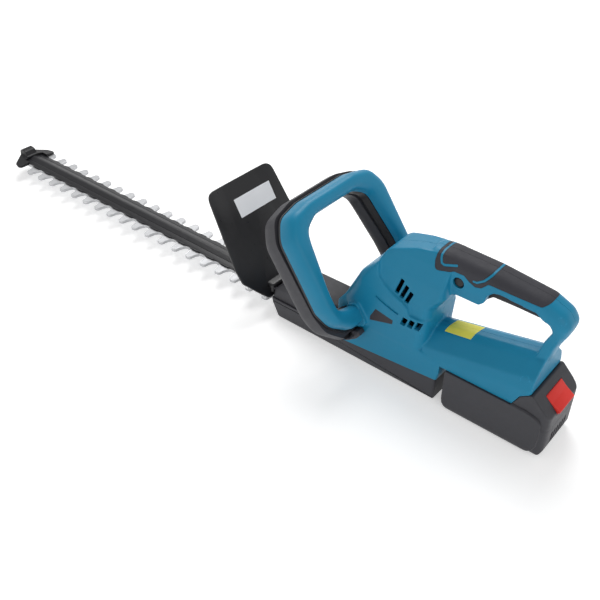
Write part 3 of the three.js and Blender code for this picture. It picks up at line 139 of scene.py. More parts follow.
def carried(outline, axis, low, high, rim=0.0, steps=5, rim_steps=6):
    """A flat outline in millimetres carried along an axis from low to high; rim rounds its end edges."""
    at = AXES[axis]
    bm = bmesh.new()
    ring = [bm.verts.new(at(a, b, low) * MM) for a, b in curved_corners(outline, steps)]
    extruded(bm, ring, at(0, 0, high - low) * MM)
    if rim:
        along = at(0, 0, 1)
        rims = [e for e in bm.edges if abs((e.verts[0].co - e.verts[1].co).dot(along)) < 1e-7]
        bmesh.ops.bevel(bm, geom=rims, offset=rim * MM, segments=rim_steps, profile=0.5,
                        affect="EDGES", clamp_overlap=False, material=-1)
    return object_from(bm)


def across(outline, half=CLEAR, **edges):
    """A side outline carried from one side of the tool to the other, past both if half isn't given."""
    return carried(outline, "Y", -half, half, **edges)


def outward(side, near, far):
    """The ends of a stretch on one side of the tool (1 left, -1 right), the lower one first."""
    return sorted((near * side, far * side))


def box(x0, x1, y0, y1, z0, z1):
    bm = bmesh.new()
    size = Vector((x1 - x0, y1 - y0, z1 - z0)) * MM
    middle = Vector((x0 + x1, y0 + y1, z0 + z1)) * (MM / 2)
    bmesh.ops.create_cube(bm, size=1, matrix=Matrix.Translation(middle) @ Matrix.Diagonal((*size, 1)))
    return object_from(bm)


def rod(axis, a, b, low, high, radius):
    """A round bar in millimetres along an axis, through (a, b)."""
    turns = {"X": Matrix.Rotation(math.pi / 2, 4, "Y"), "Y": Matrix.Rotation(math.pi / 2, 4, "X"),
             "Z": Matrix.Identity(4)}
    middle = AXES[axis](a, b, (low + high) / 2) * MM
    bm = bmesh.new()
    bmesh.ops.create_cone(bm, cap_ends=True, segments=32, radius1=radius * MM, radius2=radius * MM,
                          depth=(high - low) * MM, matrix=Matrix.Translation(middle) @ turns[axis])
    return object_from(bm)


def settle(thing):
    """Applies the modifiers of a form to its mesh."""
    bpy.context.view_layer.update()
    done = bpy.data.meshes.new_from_object(thing.evaluated_get(bpy.context.evaluated_depsgraph_get()))
    thing.modifiers.clear()
    old = thing.data
    thing.data = done
    bpy.data.meshes.remove(old)
    return thing


def worked(operation, base, tools):
    for tool in tools:
        change = base.modifiers.new(operation, "BOOLEAN")
        change.operation = operation
        change.solver = "MANIFOLD"
        change.object = tool
        settle(base)
        bpy.data.objects.remove(tool)
    return base


def join(base, *tools):
    return worked("UNION", base, tools)


def cut(base, *tools):
    return worked("DIFFERENCE", base, tools)


def meet(base, *tools):
    return worked("INTERSECT", base, tools)


def copy_of(thing):
    twin = bpy.data.objects.new("form", thing.data.copy())
    bpy.context.scene.collection.objects.link(twin)
    return twin


def softened(thing, voxel, rounds):
    """Evens a joined form out and rounds its edges, as a mould's fillets do."""
    even = thing.modifiers.new("even", "REMESH")
    even.mode = "VOXEL"
    even.voxel_size = voxel * MM
    soft = thing.modifiers.new("soft", "SMOOTH")
    soft.factor = 0.5
    soft.iterations = rounds
    return settle(thing)


def both_sides(half):
    """An outline that is the same on both sides of the middle, from its right half."""
    mirrored = [(-p[0], *p[1:]) for p in reversed(half)]
    return [mirrored[-1], *half, *mirrored[:-1]]


BODY_HALF = 35
BAY_HALF = 33.5
SHOULDER_HALF = 35.4
RECESS_AT = 31.3
GRIP_HALF = 18
BODY_SIDE = [
    (17, 14), (17, 80, 6), (4, 98, 12), (-60, 118), (-60, 150), (-232, 150), (-232, 68), (-214, 46),
    (-126, 46, 3), (-121, 25), (12, 14),
]
FRONT_SIDE = [(60, 0), (60, 160), (-60, 160), (-74, 90, 20), (-92, 66, 12), (-119, 57), (-119, 0)]
FRONT_CROSS = both_sides([(BODY_HALF, 10), (BODY_HALF, 84, 12), (26, 104, 14), (9, 112, 12)])
DECK_CROSS = both_sides([(BODY_HALF, -80), (BODY_HALF, -32, 10), (31, -20, 8), (16, -5, 10), (7, 0, 8)])
DECK_START = (-100, 89)
DECK_RISE = 0.213
BAY_SIDE = [
    (12, 50), (12, 88, 10), (-9, 131, 20), (-30, 153, 10), (-37, 169.5, 18), (-72, 182, 24),
    (-98, 186, 20), (-116, 187, 8), (-116, 136, 6), (-104, 118, 10), (-100, 50),
]
BAY_CROSS = both_sides([(BAY_HALF, 40), (BAY_HALF, 108, 20), (27, 150, 20), (21, 172, 12), (10, 195)])
SHOULDER_CROSS = both_sides([
    (SHOULDER_HALF, 40), (SHOULDER_HALF, 118, 20), (31.5, 150, 20), (24, 174, 12), (10, 195),
])
BAY_RECESS = [
    (-29, 178), (-33.5, 153, 10), (-35.5, 138, 8), (-46, 129, 10), (-57, 123, 8), (-69, 119, 6),
    (-77, 114, 4), (-80, 105, 3), (-130, 105), (-130, 200), (-29, 200),
]
HANDLE_SIDE = [
    (-84, 88), (-84, 187, 8), (-110, 189, 30), (-158, 187.5, 40), (-218, 181, 24), (-240, 171.5, 18),
    (-248, 160, 12), (-245, 147, 12), (-237, 128, 16), (-231.5, 104, 6), (-228, 88),
]
HANDLE_CROSS = both_sides([(14, 60), (12.8, 128, 30), (GRIP_HALF, 158, 20), (GRIP_HALF, 200)])
FINGER_HOLE = [
    (-114, 139.5, 5), (-124, 144, 6), (-150, 143.8, 4), (-155, 149, 3), (-158.5, 161, 4), (-165, 167.5, 5),
    (-173, 169, 8), (-200, 167), (-212, 166.5, 4), (-220, 161, 6), (-229, 159, 8), (-232, 150, 8),
    (-225, 134, 20), (-218, 104, 6), (-180, 92), (-120, 78, 10), (-104, 86, 12), (-99, 104, 14),
    (-106, 124, 14),
]


def deck(depth):
    """The rounded roof of the rear body, which climbs to the rear."""
    form = carried(inset(DECK_CROSS, depth), "X", -140, 0)
    climb = Matrix.Identity(4)
    climb[2][0] = -DECK_RISE
    form.data.transform(Matrix.Translation(Vector((DECK_START[0], 0, DECK_START[1])) * MM) @ climb)
    return form


def front_body(depth):
    """The low front of the shells, or the room in it when depth is a wall's thickness."""
    form = across(inset(BODY_SIDE, depth), BODY_HALF - depth)
    return meet(form, carried(inset(FRONT_CROSS, depth), "X", -125, 60), across(inset(FRONT_SIDE, depth)))


def rear_body(depth):
    """The body over the battery, under the rounded deck."""
    form = across(inset(BODY_SIDE, depth), BODY_HALF - depth)
    return meet(form, deck(depth))


def motor_bay(depth):
    """The tall hump over the motor."""
    form = across(inset(BAY_SIDE, depth), BAY_HALF - depth, rim=15 - depth)
    return meet(form, carried(inset(BAY_CROSS, depth), "X", -300, 60))


def bay_shoulder():
    """The fuller front and lower part of the bay's sides, which ends in a swept step."""
    form = meet(across(BAY_SIDE, SHOULDER_HALF, rim=12), carried(SHOULDER_CROSS, "X", -300, 60))
    return cut(form, across(BAY_RECESS))


def grip_bar(depth):
    """The rear handle with its finger opening."""
    form = across(inset(HANDLE_SIDE, depth), GRIP_HALF - depth, rim=max(2, 12 - depth))
    meet(form, carried(inset(HANDLE_CROSS, depth), "X", -300, 60))
    return cut(form, across(inset(FINGER_HOLE, -depth)))


LOOP_TILT = math.radians(34)
LOOP_CENTRE = Vector((56, 0, 163))
LOOP_UP = Vector((math.sin(LOOP_TILT), 0, math.cos(LOOP_TILT)))
LOOP_FORWARD = Vector((math.cos(LOOP_TILT), 0, -math.sin(LOOP_TILT)))
LOOP_END = 41


def at_loop(y, t, w):
    """A point of the front loop's own plane: y across, t up the loop, w forwards out of it."""
    return LOOP_CENTRE + Vector((0, y, 0)) + LOOP_UP * t + LOOP_FORWARD * w


def loop_outline(points):
    """A side outline whose corners [w, t, r] are given in the loop's own plane."""
    return [(at_loop(0, t, w).x, at_loop(0, t, w).z, r) for w, t, r in points]


def loop_collar(side):
    """The stub on the housing's side that the loop's foot plugs into."""
    outline = loop_outline([(-18, -127, 7), (0.5, -127, 7), (0.5, -96, 7), (-18, -96, 7)])
    return carried(outline, "Y", *outward(side, 20, LOOP_END - 0.3))


outer_form = join(front_body(0), motor_bay(0))
for side in (1, -1):
    cut(outer_form, carried(BAY_RECESS, "Y", *outward(side, RECESS_AT, CLEAR)))
join(outer_form, rear_body(0), bay_shoulder(), grip_bar(0), loop_collar(1), loop_collar(-1))
softened(outer_form, VOXEL, 8)
BODY_FOOT = [(-300, 0), (-125.5, 0), (-125.5, 57), (-214, 57, 1), (-221, 72, 3), (-232, 80), (-300, 80)]
cut(outer_form, across(BODY_FOOT))


def hollow():
    """The room inside the two shells."""
    front = across([(14.4, 0), (14.4, 80, 4), (3, 94, 10), (-60, 114), (-112, 101), (-123.4, 92),
                    (-123.4, 57), (-118.4, 40), (-118.4, 0)], BODY_HALF)
    meet(front, carried(inset(FRONT_CROSS, WALL), "X", -300, 60),
         join(deck(WALL), across(inset(FRONT_SIDE, WALL))))
    rear = across([(-119, 71), (-119, 130), (-229.4, 130), (-229.4, 83), (-224, 73.6), (-219, 71)], BODY_HALF)
    meet(rear, deck(WALL))
    channel = meet(box(-136.9, -110, -22, 22, 60, 84), deck(WALL))
    return join(front, rear, channel, motor_bay(WALL), grip_bar(WALL + 2))


HOUSING_SCREWS = [(4, 70), (-92, 86), (-222, 92), (-90, 177), (-236.5, 165.5)]
COVER_SCREWS = [(104, 23), (104, -23), (-106, 23), (-106, -23)]
LEVER_PIVOT = (at_loop(0, -131, 9).x, at_loop(0, -131, 9).z)
TRIGGER_PIVOT = (-112, 154)
LOCK = (-125, 162)

bosses = []
for i, (x, z) in enumerate(HOUSING_SCREWS):
    reach = 34 if i < 3 else 16
    bosses.append(rod("Y", x, z, -reach, reach, 5))
bosses.append(rod("Y", *TRIGGER_PIVOT, -GRIP_HALF, GRIP_HALF, 4.5))
for side in (1, -1):
    bosses.append(rod("Y", *LEVER_PIVOT, *outward(side, 23, 34.5), 5.6))
for x, y in COVER_SCREWS[2:]:
    bosses.append(rod("Z", x, y, 34.6, 48, 5.4))
posts = meet(join(*bosses), copy_of(outer_form))

# Three long vents in the bay's side, each a little shorter than the last, and three short ones below.
vents = []
for i in range(3):
    x, z = -61.3 - 6.9 * i, 134.2 - 4.3 * i
    vents.append([(x - 0.9, z + 10.3 - i, 1), (x - 5.8, z + 8.6 - i, 1),
                  (x - 0.5, z - 10 + i, 1), (x + 4.6, z - 9 + i, 1)])
    x = -70 - 9.2 * i
    vents.append([(x, 89 + i, 1), (x - 6.4, 88.6 + i, 1), (x - 10, 99.8 + i, 1), (x - 3.6, 100.6 + i, 1)])

openings = [
    # the gear cover below, the nose and its flange in front
    across([(-140, -10), (60, -10), (60, SEAM), (NOSE_REAR, SEAM), (-120.5, 34.3), (-140, 34.3)]),
    box(9.3, 30, -29.6, 29.6, 0, 57),
    box(9.3, 30, -32.4, 32.4, 0, 27.5),
    # the battery's rail, its flanges and the terminals
    box(-260, -140, -17.5, 17.5, 50, 68.2),
    box(-260, -140, -23, 23, 63.5, 68.2),
    box(-143, -135, -14, 14, 60.5, 69),
    # the trigger, the lock button and the trigger's pin
    across([(-106, 134), (-219, 134), (-219, 178), (-106, 178)], 7.8),
    rod("Y", *LOCK, -CLEAR, CLEAR, 6.6),
    rod("Y", *TRIGGER_PIVOT, -12.3, 12.3, 2.3),
]
for side in (1, -1):
    openings.append(rod("Y", *LEVER_PIVOT, *outward(side, 25, CLEAR), 3.3))
for x, y in COVER_SCREWS[2:]:
    openings.append(rod("Z", x, y, 0, 44.5, 2.3))
for x, z in HOUSING_SCREWS:
    openings.append(rod("Y", x, z, -15, 11.3, 2.0))
    openings.append(rod("Y", x, z, -CLEAR, -12, 3.6))
openings += [across(outline) for outline in vents]
GRIP_OUTLINE = [
    (-98, 169, 8), (-119, 174, 4), (-130, 174, 4), (-137, 169, 3), (-144, 166, 4), (-151, 168, 4),
    (-158, 176, 4), (-216, 175, 5), (-232, 187, 8), (-229, 206, 8), (-104, 208, 8), (-95, 190, 8),
    (-95, 178, 8),
]
INLAYS = [
    [(-101, 208), (-99.5, 190), (-100.5, 183), (-103, 177.8), (-106.5, 177), (-121, 181.5)],
    [(-140.5, 171.8), (-145.3, 172), (-153, 177.8), (-158.5, 185), (-163, 195), (-166, 208)],
]


def stripe(points, width):
    """The outline of a strip of a given width that follows a line."""
    near, far = [], []
    for i, point in enumerate(points):
        before = Vector(points[max(0, i - 1)])
        after = Vector(points[min(len(points) - 1, i + 1)])
        heading = (after - before).normalized()
        across = Vector((-heading.y, heading.x)) * width / 2
        near.append((*(Vector(point) + across), 2))
        far.append((*(Vector(point) - across), 2))
    return near + far[::-1]


def grip_form(outline, core, rib, ring):
    """The rubber over a core, or its room; ribs and a ring round the lock button are left open."""
    ribs = [across(stripe(points, rib)) for points in INLAYS]
    return cut(across(outline), core, rod("Y", *LOCK, -CLEAR, CLEAR, ring), *ribs)


grip_core = join(grip_bar(2), motor_bay(2))
grip_zone = grip_form(GRIP_OUTLINE, copy_of(grip_core), 2.9, 9.2)
grip_room = grip_form(inset(GRIP_OUTLINE, -0.25), grip_core, 2.4, 8.9)

SIDE_GROOVE = [(-36, 111.5), (-50.5, 105.6), (-67, 101)]
for side in (1, -1):
    openings.append(carried(stripe(SIDE_GROOVE, 3.4), "Y", *outward(side, 33.9, CLEAR)))

shell = cut(copy_of(outer_form), hollow())
join(shell, posts)
cut(shell, join(*openings), grip_room)


def half_of(thing, side):
    """The part of a closed form on one side of the parting plane, closed again."""
    return meet(copy_of(thing), box(-400, 100, *outward(side, PARTING, 90), 0, 260))


def tone(red, green, blue):
    """A colour given in 0..255 display values as the shader's linear values."""
    def linear(value):
        share = value / 255
        return share / 12.92 if share <= 0.04045 else ((share + 0.055) / 1.055) ** 2.4
    return (linear(red), linear(green), linear(blue), 1.0)


def node_of(material, kind, **values):
    node = material.node_tree.nodes.new(kind)
    for key, value in values.items():
        if hasattr(node, key):
            setattr(node, key, value)
        else:
            node.inputs[key.replace("_", " ")].default_value = value
    return node


def shade(colour, factor, lift=0.0):
    """A colour made lighter or darker."""
    return tuple(min(1, c * factor + lift) for c in colour[:3]) + (1,)


def clouded(material, pattern, darker, lighter):
    """A colour that a pattern moves between two shades."""
    body = node_of(material, "ShaderNodeMix", data_type="RGBA")
    body.inputs[6].default_value = darker
    body.inputs[7].default_value = lighter
    material.node_tree.links.new(pattern.outputs["Fac"], body.inputs[0])
    return body.outputs[2]


def finish(name):
    """A new material with its shader and its link function."""
    material = bpy.data.materials.new(name)
    material.use_nodes = True
    return material, material.node_tree.nodes["Principled BSDF"], material.node_tree.links.new


def polished(material, pattern, smoothest, roughest):
    """Lets a pattern move the roughness between two values."""
    link = material.node_tree.links.new
    polish = node_of(material, "ShaderNodeMapRange", From_Min=0.3, From_Max=0.7,
                     To_Min=smoothest, To_Max=roughest)
    link(pattern.outputs["Fac"], polish.inputs["Value"])
    link(polish.outputs["Result"], material.node_tree.nodes["Principled BSDF"].inputs["Roughness"])


def grained(material, pattern, strength, depth, round_edge):
    """A fine relief, depth in metres, over edges that catch light as if rounded by round_edge millimetres."""
    link = material.node_tree.links.new
    rounded = node_of(material, "ShaderNodeBevel", samples=4, Radius=round_edge * MM)
    bump = node_of(material, "ShaderNodeBump", Strength=strength, Distance=depth)
    link(pattern.outputs["Fac"], bump.inputs["Height"])
    link(rounded.outputs["Normal"], bump.inputs["Normal"])
    link(bump.outputs["Normal"], material.node_tree.nodes["Principled BSDF"].inputs["Normal"])


def moulded(name, colour, rough, grain, grain_scale, spread, edge=0.0, metal=0.0, round_edge=0.4, gloss=0.4):
    """A moulded plastic: slow variation of its colour, fine surface grain, and a painted highlight that
    lightens its sharp edges by edge.
    """
    material, shader, link = finish(name)
    place = node_of(material, "ShaderNodeTexCoord")
    slow = node_of(material, "ShaderNodeTexNoise", Scale=22.0, Detail=3.0, Roughness=0.55)
    fine = node_of(material, "ShaderNodeTexNoise", Scale=grain_scale, Detail=2.0, Roughness=0.6)
    scuff = node_of(material, "ShaderNodeTexNoise", Scale=160.0, Detail=4.0, Roughness=0.7)
    for texture in (slow, fine, scuff):
        link(place.outputs["Object"], texture.inputs["Vector"])
    body = clouded(material, slow, shade(colour, 1 - spread), shade(colour, 1 + spread))
    form = node_of(material, "ShaderNodeNewGeometry")
    # Painted highlight: sharp convex edges, found by their pointiness, are lightened towards a paler colour as
    # if they caught the light.
    edge_highlight = node_of(material, "ShaderNodeMapRange", From_Min=0.53, From_Max=0.62, To_Min=0.0, To_Max=edge)
    link(form.outputs["Pointiness"], edge_highlight.inputs["Value"])
    highlit_colour = node_of(material, "ShaderNodeMix", data_type="RGBA")
    highlit_colour.inputs[7].default_value = shade(colour, 1.6, 0.02)
    link(edge_highlight.outputs["Result"], highlit_colour.inputs[0])
    link(body, highlit_colour.inputs[6])
    link(highlit_colour.outputs[2], shader.inputs["Base Color"])
    polished(material, scuff, rough - 0.05, rough + 0.06)
    shader.inputs["Metallic"].default_value = metal
    shader.inputs["Specular IOR Level"].default_value = gloss
    grained(material, fine, grain, depth=0.0004, round_edge=round_edge)
    return material


PATCH_ROUGH = 0.45


def flat_patch(material, colour, limits):
    """Lays a blank patch of a colour over a material where every (direction, limit) holds in millimetres."""
    link = material.node_tree.links.new
    shader = material.node_tree.nodes["Principled BSDF"]
    place = node_of(material, "ShaderNodeTexCoord")
    inside = None
    for direction, limit in limits:
        along = node_of(material, "ShaderNodeVectorMath", operation="DOT_PRODUCT")
        along.inputs[1].default_value = Vector(direction) / MM
        link(place.outputs["Object"], along.inputs[0])
        within = node_of(material, "ShaderNodeMath", operation="LESS_THAN")
        link(along.outputs["Value"], within.inputs[0])
        within.inputs[1].default_value = limit
        if inside is None:
            inside = within
            continue
        both = node_of(material, "ShaderNodeMath", operation="MULTIPLY")
        link(inside.outputs[0], both.inputs[0])
        link(within.outputs[0], both.inputs[1])
        inside = both
    for socket, value in (("Base Color", colour), ("Roughness", PATCH_ROUGH)):
        below = shader.inputs[socket].links[0].from_socket
        blend = node_of(material, "ShaderNodeMix", data_type="RGBA" if socket == "Base Color" else "FLOAT")
        first, second, result = (6, 7, 2) if socket == "Base Color" else (2, 3, 0)
        link(inside.outputs[0], blend.inputs[0])
        link(below, blend.inputs[first])
        blend.inputs[second].default_value = value
        link(blend.outputs[result], shader.inputs[socket])


def edges_of(polygon, axes):
    """The (direction, limit) pairs of a convex anticlockwise polygon drawn on two axes."""
    pairs = []
    for i, point in enumerate(polygon):
        ahead = Vector(polygon[(i + 1) % len(polygon)]) - Vector(point)
        out = Vector((ahead.y, -ahead.x)).normalized()
        direction = Vector((0, 0, 0))
        direction[axes[0]], direction[axes[1]] = out
        pairs.append((direction, out.dot(Vector(point))))
    return pairs


def fitted(thing, name, body, slot, material, *nodes):
    """Names a finished piece, gives it its finish, sets it on the body it rides on and hides the parts it
    stands for.
    """
    thing.name = name
    thing.data.name = name
    thing.data.materials.clear()
    thing.data.materials.append(material)
    thing.data.polygons.foreach_set("use_smooth", [True] * len(thing.data.polygons))
    thing.data.set_sharp_from_angle(angle=math.radians(38))
    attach(thing, body)
    if nodes:
        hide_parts(*nodes)
    return thing


# The teal's edge value paints a highlight along its sharp edges.
teal = moulded("teal_nylon", tone(26, 134, 172), 0.40, grain=0.05, grain_scale=1900.0, spread=0.06,
               edge=0.25, gloss=0.3)
SIDE_PLATE = [(-60.4, 83.1), (-29.8, 74), (-30.2, 80), (-36.7, 93.2), (-60.8, 88.7)]
DECK_STICKER = [(-152, -9), (-119, -11), (-115, 13.5), (-147.5, 14.5)]
flat_patch(teal, tone(52, 48, 54), edges_of(SIDE_PLATE, (0, 2)))
flat_patch(teal, tone(246, 236, 96), edges_of(DECK_STICKER, (0, 1)) + [((0, 0, -1), -80), ((0, 0, 1), 112)])
fitted(half_of(shell, 1), "left_shell", "tool_body", "teal_shell", teal, "housing_left")
fitted(half_of(shell, -1), "right_shell", "tool_body", "teal_shell", teal, "housing_right")
bpy.data.objects.remove(shell)

# ---- grip pads: soft overmoulding ----
# Two pads of thermoplastic rubber, moulded over the top of the handle and the rear of the motor
# bay. They lie flush with the shells, and thin ribs of the hard shell show through them.

grip_skin = meet(outer_form, grip_zone)

rubber = moulded("soft_grip_rubber", tone(60, 60, 66), 0.62, grain=0.25, grain_scale=900.0, spread=0.10,
                 gloss=0.3)
fitted(half_of(grip_skin, 1), "left_grip", "tool_body", "soft_grip", rubber, "grip_left")
fitted(half_of(grip_skin, -1), "right_grip", "tool_body", "soft_grip", rubber, "grip_right")
bpy.data.objects.remove(grip_skin)

# ---- front loop handle ----
# A tilted bail that bridges the tool in front of the motor bay, for the front hand. The rear
# half is a thick teal tube, closed by a thin black cover; both feet plug into the housing's sides.

LOOP_OUTER = [
    (29, -123), (57, -122, 14), (78.5, -106, 26), (87.3, -84, 16), (87.3, 6, 30), (73, 28.5, 22),
    (42, 34.6, 30),
]
COVER_OUTER = [
    (29, -127), (58, -126, 12), (80, -108, 24), (88, -85, 16), (88, 6, 30), (73, 30, 22), (42, 36.5, 30),
]
LOOP_INNER = [(37, 13.5, 22), (57, 2, 18), (68, -62, 24), (70, -92, 14), (29, -101)]
LOOP_EYE = Vector((0, -45))
LOOP_STATIONS = 168
LOOP_OPENING = math.radians(25)
SECTION_STEPS = 40


def first_hit(polygon, direction):
    """Distance from the loop's eye to a closed outline along a direction."""
    best = 0
    for i, start in enumerate(polygon):
        a = Vector(start) - LOOP_EYE
        edge = Vector(polygon[(i + 1) % len(polygon)]) - LOOP_EYE - a
        cross = direction.x * edge.y - direction.y * edge.x
        if abs(cross) < 1e-9:
            continue
        reach = (a.x * edge.y - a.y * edge.x) / cross
        share = (a.x * direction.y - a.y * direction.x) / cross
        if reach > 0 and -1e-6 <= share <= 1 + 1e-6:
            best = max(best, reach)
    return best


def loop_ring(section, shrink=0.0, swell=0.0, outside=LOOP_OUTER):
    """Carries a section [u, w] round the loop; u runs from -1 on its inner outline to 1 on its outer.

    Behind the seam the section is deeper by swell along the legs and the top than at the feet.
    """
    outer = curved_corners(both_sides(inset_open(outside, shrink)), 10)
    inner = curved_corners(both_sides(inset_open(LOOP_INNER, -shrink)), 10)
    bm = bmesh.new()
    rings = []
    for k in range(LOOP_STATIONS + 1):
        angle = -math.pi / 2 + LOOP_OPENING + k / LOOP_STATIONS * 2 * (math.pi - LOOP_OPENING)
        direction = Vector((math.cos(angle), math.sin(angle)))
        far = first_hit(outer, direction)
        near = first_hit(inner, direction)
        ring = []
        for u, w in section:
            flat = LOOP_EYE + direction * ((far + near) / 2 + u * (far - near) / 2)
            if w < 0:
                w *= 1 + swell * min(1, max(0, (flat.y + 112) / 30))
            ring.append(bm.verts.new(at_loop(flat.x, flat.y, w) * MM))
        rings.append(ring)
    for before, after in zip(rings, rings[1:]):
        for j in range(len(section)):
            n = (j + 1) % len(section)
            bm.faces.new((before[j], before[n], after[n], after[j]))
    bm.faces.new(rings[0])
    bm.faces.new(reversed(rings[-1]))
    bmesh.ops.recalc_face_normals(bm, faces=bm.faces)
    return object_from(bm)


def inset_open(half, shrink):
    """One half of a loop outline, moved inwards by shrink on the outer side or out on the inner side."""
    result = []
    for p in half:
        away = (Vector(p[:2]) - LOOP_EYE).normalized()
        moved = Vector(p[:2]) - away * shrink
        result.append((moved.x, moved.y, *p[2:]))
    return result


def round_section(flat_w, crown_w, power, lean=0.0, inner_w=None):
    """A D-shaped section: flat at flat_w, crowned towards crown_w.

    The crown comes nearer by lean on the inner side; the flat ends at inner_w there.
    """
    points = []
    for k in range(SECTION_STEPS + 1):
        angle = math.pi * k / SECTION_STEPS
        u = math.copysign(abs(math.cos(angle)) ** (2 / power), math.cos(angle))
        rise = math.sin(angle) ** (2 / power) if 0 < k < SECTION_STEPS else 0.0
        w = flat_w + (crown_w - flat_w - lean * (1 - u) / 2) * rise
        if inner_w is None or w < flat_w + (inner_w - flat_w) * (1 - u) / 2:
            points.append((u, w))
    if inner_w is not None:
        points = [(1, flat_w), *points, (-0.985, inner_w)]
    return points


def clear_of_body(thing, half=LOOP_END):
    """Cuts a loop off where it meets the housing, half a width from the middle plane."""
    return cut(thing, box(-80, 45, -half, half, 0, 140))


tube = clear_of_body(loop_ring(round_section(0, -18, 3.0, inner_w=-8), swell=0.2))
foot = at_loop(0, -112, -9.5)
for side in (1, -1):
    join(tube, rod("Y", foot.x, foot.z, *outward(side, 31, 47), 6))
fitted(tube, "front_handle", "tool_body", "teal_shell", teal, "loop_handle")

black = moulded("black_nylon", tone(26, 26, 29), 0.42, grain=0.10, grain_scale=1400.0, spread=0.12)
band = [(1, 0.3), (1, 3.5), (-1, 3.5), (-1, -7.7)]
loop_cover = clear_of_body(loop_ring(band, shrink=1.0, outside=COVER_OUTER))
fitted(loop_cover, "front_handle_cover", "tool_body", "black_plastic", black, "loop_cover")

# ---- switch lever ----
# The dark grey half of the front loop. It turns on two screws low on the body and is squeezed
# back against the cover to close the front switch; its ears wrap the housing's collars.

REST_TILT = math.radians(1.8)
EAR_INSIDE = 35.7
EAR_OUTSIDE = 46.2
LEVER_OUTER = [
    (29, -137), (56, -136, 16), (82, -112, 26), (88, -87, 16), (88, 6, 30), (74, 31, 22), (42, 39, 30),
]
EAR = [
    (-5.5, -136.5, 1), (3, -139.5, 10), (25, -140, 7), (27, -113, 4), (5.3, -117, 2), (5.3, -128.7, 1),
    (-1, -129.2, 1), (-5.5, -131, 1),
]
crown = round_section(4.3, 31.3, 3.4, lean=5)
lever = clear_of_body(loop_ring(crown, shrink=0.6, outside=LEVER_OUTER), EAR_INSIDE)
for side in (1, -1):
    ear = carried(loop_outline(EAR), "Y", *outward(side, EAR_INSIDE, EAR_OUTSIDE), rim=1.2, rim_steps=3)
    join(lever, ear)
for side in (1, -1):
    cut(lever, rod("Y", *LEVER_PIVOT, *outward(side, 30, CLEAR), 3.3),
        rod("Y", *LEVER_PIVOT, *outward(side, 42.7, CLEAR), 5.2))
pivot = Matrix.Translation(Vector((LEVER_PIVOT[0], 0, LEVER_PIVOT[1])) * MM)
lever.data.transform(pivot @ Matrix.Rotation(REST_TILT, 4, "Y") @ pivot.inverted())
grey = moulded("grey_nylon", tone(60, 60, 65), 0.50, grain=0.14, grain_scale=1300.0, spread=0.10)
fitted(lever, "lever_bar", "lever", "grey_plastic", grey, "switch_lever")

# ---- gear cover and gear case ----
# The grey castings round the gears and the rear of the blades: a flat-bottomed cover below with
# its screws, and a domed case above that carries the guide bar, the guard and the crank's bearing.


COVER_REAR = -121
COVER_HALF = 31.5
CASE_FRONT = 126
BEARING_ROOM = 11.3
TOOTH_PITCH = 28.6
TOOTH_TIPS = {1: 655.0, -1: 672.5}
TEETH = 19


def tooth_places(side):
    """Where the teeth of one edge stand at rest, from the front to the rear."""
    return [TOOTH_TIPS[side] - i * TOOTH_PITCH for i in range(TEETH)]


def seam_height(x):
    """The height of the seam over the cover, which climbs to the rear behind the nose."""
    share = min(1, max(0, (NOSE_REAR - x) / (NOSE_REAR - COVER_REAR)))
    return 22 + share * 12


cover = meet(
    across([(COVER_REAR, 0, 2), (116, 0, 5), (CASE_FRONT, 20, 3), (CASE_FRONT, 46), (COVER_REAR, 46)],
           COVER_HALF, rim=3),
    across([(COVER_REAR, -1), (127, -1), (127, 22), (NOSE_REAR, 22), (COVER_REAR, 34)], 33))
cut(cover, box(-118.4, 113, -28.9, 28.9, 3, 46))
join(cover, rod("Z", 0, 0, 2, 12.4, 14),
     *[rod("Z", x, y, 2, seam_height(x) - 0.1, 5.4) for x, y in COVER_SCREWS])
cut(cover, rod("Z", 0, 0, 6, 46, BEARING_ROOM), box(110, 127, -17.9, 17.9, 12.5, 46))
for side in (1, -1):
    swept = tooth_places(side)[-1] - 8
    room = [(swept - 14, 15 * side), (swept - 6.5, 34.2 * side), (swept + 9, 34.2 * side),
            (swept + 9, 15 * side)]
    cut(cover, carried(room, "Z", 12.5, 23))
for x, y in COVER_SCREWS:
    cut(cover, rod("Z", x, y, -1, 4.5, 4.0), rod("Z", x, y, 4, 46, 2.3))
fitted(cover, "gearbox_cover", "tool_body", "grey_plastic", grey, "gear_cover")

NOSE_HALF = 29
FLANGE_HALF = 31.3
GUARD_SCREWS = [(-23, 36), (23, 36)]
FRAME_BOLTS = [60, 95]
nose = meet(
    across([(NOSE_REAR, 24.3), (CASE_FRONT, 24.3), (123, 40, 4), (112, 51, 10), (45, 55, 20),
            (NOSE_REAR, 56, 2)], NOSE_HALF),
    carried(both_sides([(NOSE_HALF, SEAM), (28, 42, 6), (23, 56, 9)]), "X", 11, 127))
softened(nose, 0.9, 8)
cut(nose, box(-CLEAR, NOSE_REAR, -CLEAR, CLEAR, 0, 90))
inner_case = carried([(-54, -28.4, 10), (14, -28.4), (14, 28.4), (-54, 28.4, 10)], "Z", SEAM, 45.5)
flange = carried([(NOSE_REAR, -FLANGE_HALF, 1), (CASE_FRONT, -FLANGE_HALF, 2), (CASE_FRONT, FLANGE_HALF, 2),
                  (NOSE_REAR, FLANGE_HALF, 1)], "Z", SEAM, 26.8, rim=0.8, rim_steps=3)
case = join(nose, inner_case, flange)
case_room = [
    # the crank gear, the pinion and the upper bearing, the yokes, and hollows between the webs
    rod("Z", 0, 0, 21, 33, 25), rod("Z", -28.5, 0, 21, 47, 9), rod("Z", 0, 0, 32, 40.9, BEARING_ROOM),
    box(10, 127, -17.3, 17.3, 21, 24.5),
    box(33, 53.5, -19, 19, 21, 50), box(66.5, 88.5, -19, 19, 21, 50), box(101.5, 112, -19, 19, 21, 50),
]
for y, z in GUARD_SCREWS:
    case_room.append(rod("X", y, z, 113, 127, 2.6))
    case_room.append(rod("Z", COVER_SCREWS[0][0], y, 21, 33.8, 2.3))
for x in FRAME_BOLTS:
    case_room.append(rod("Z", x, 0, 21, 36.5, 2.6))
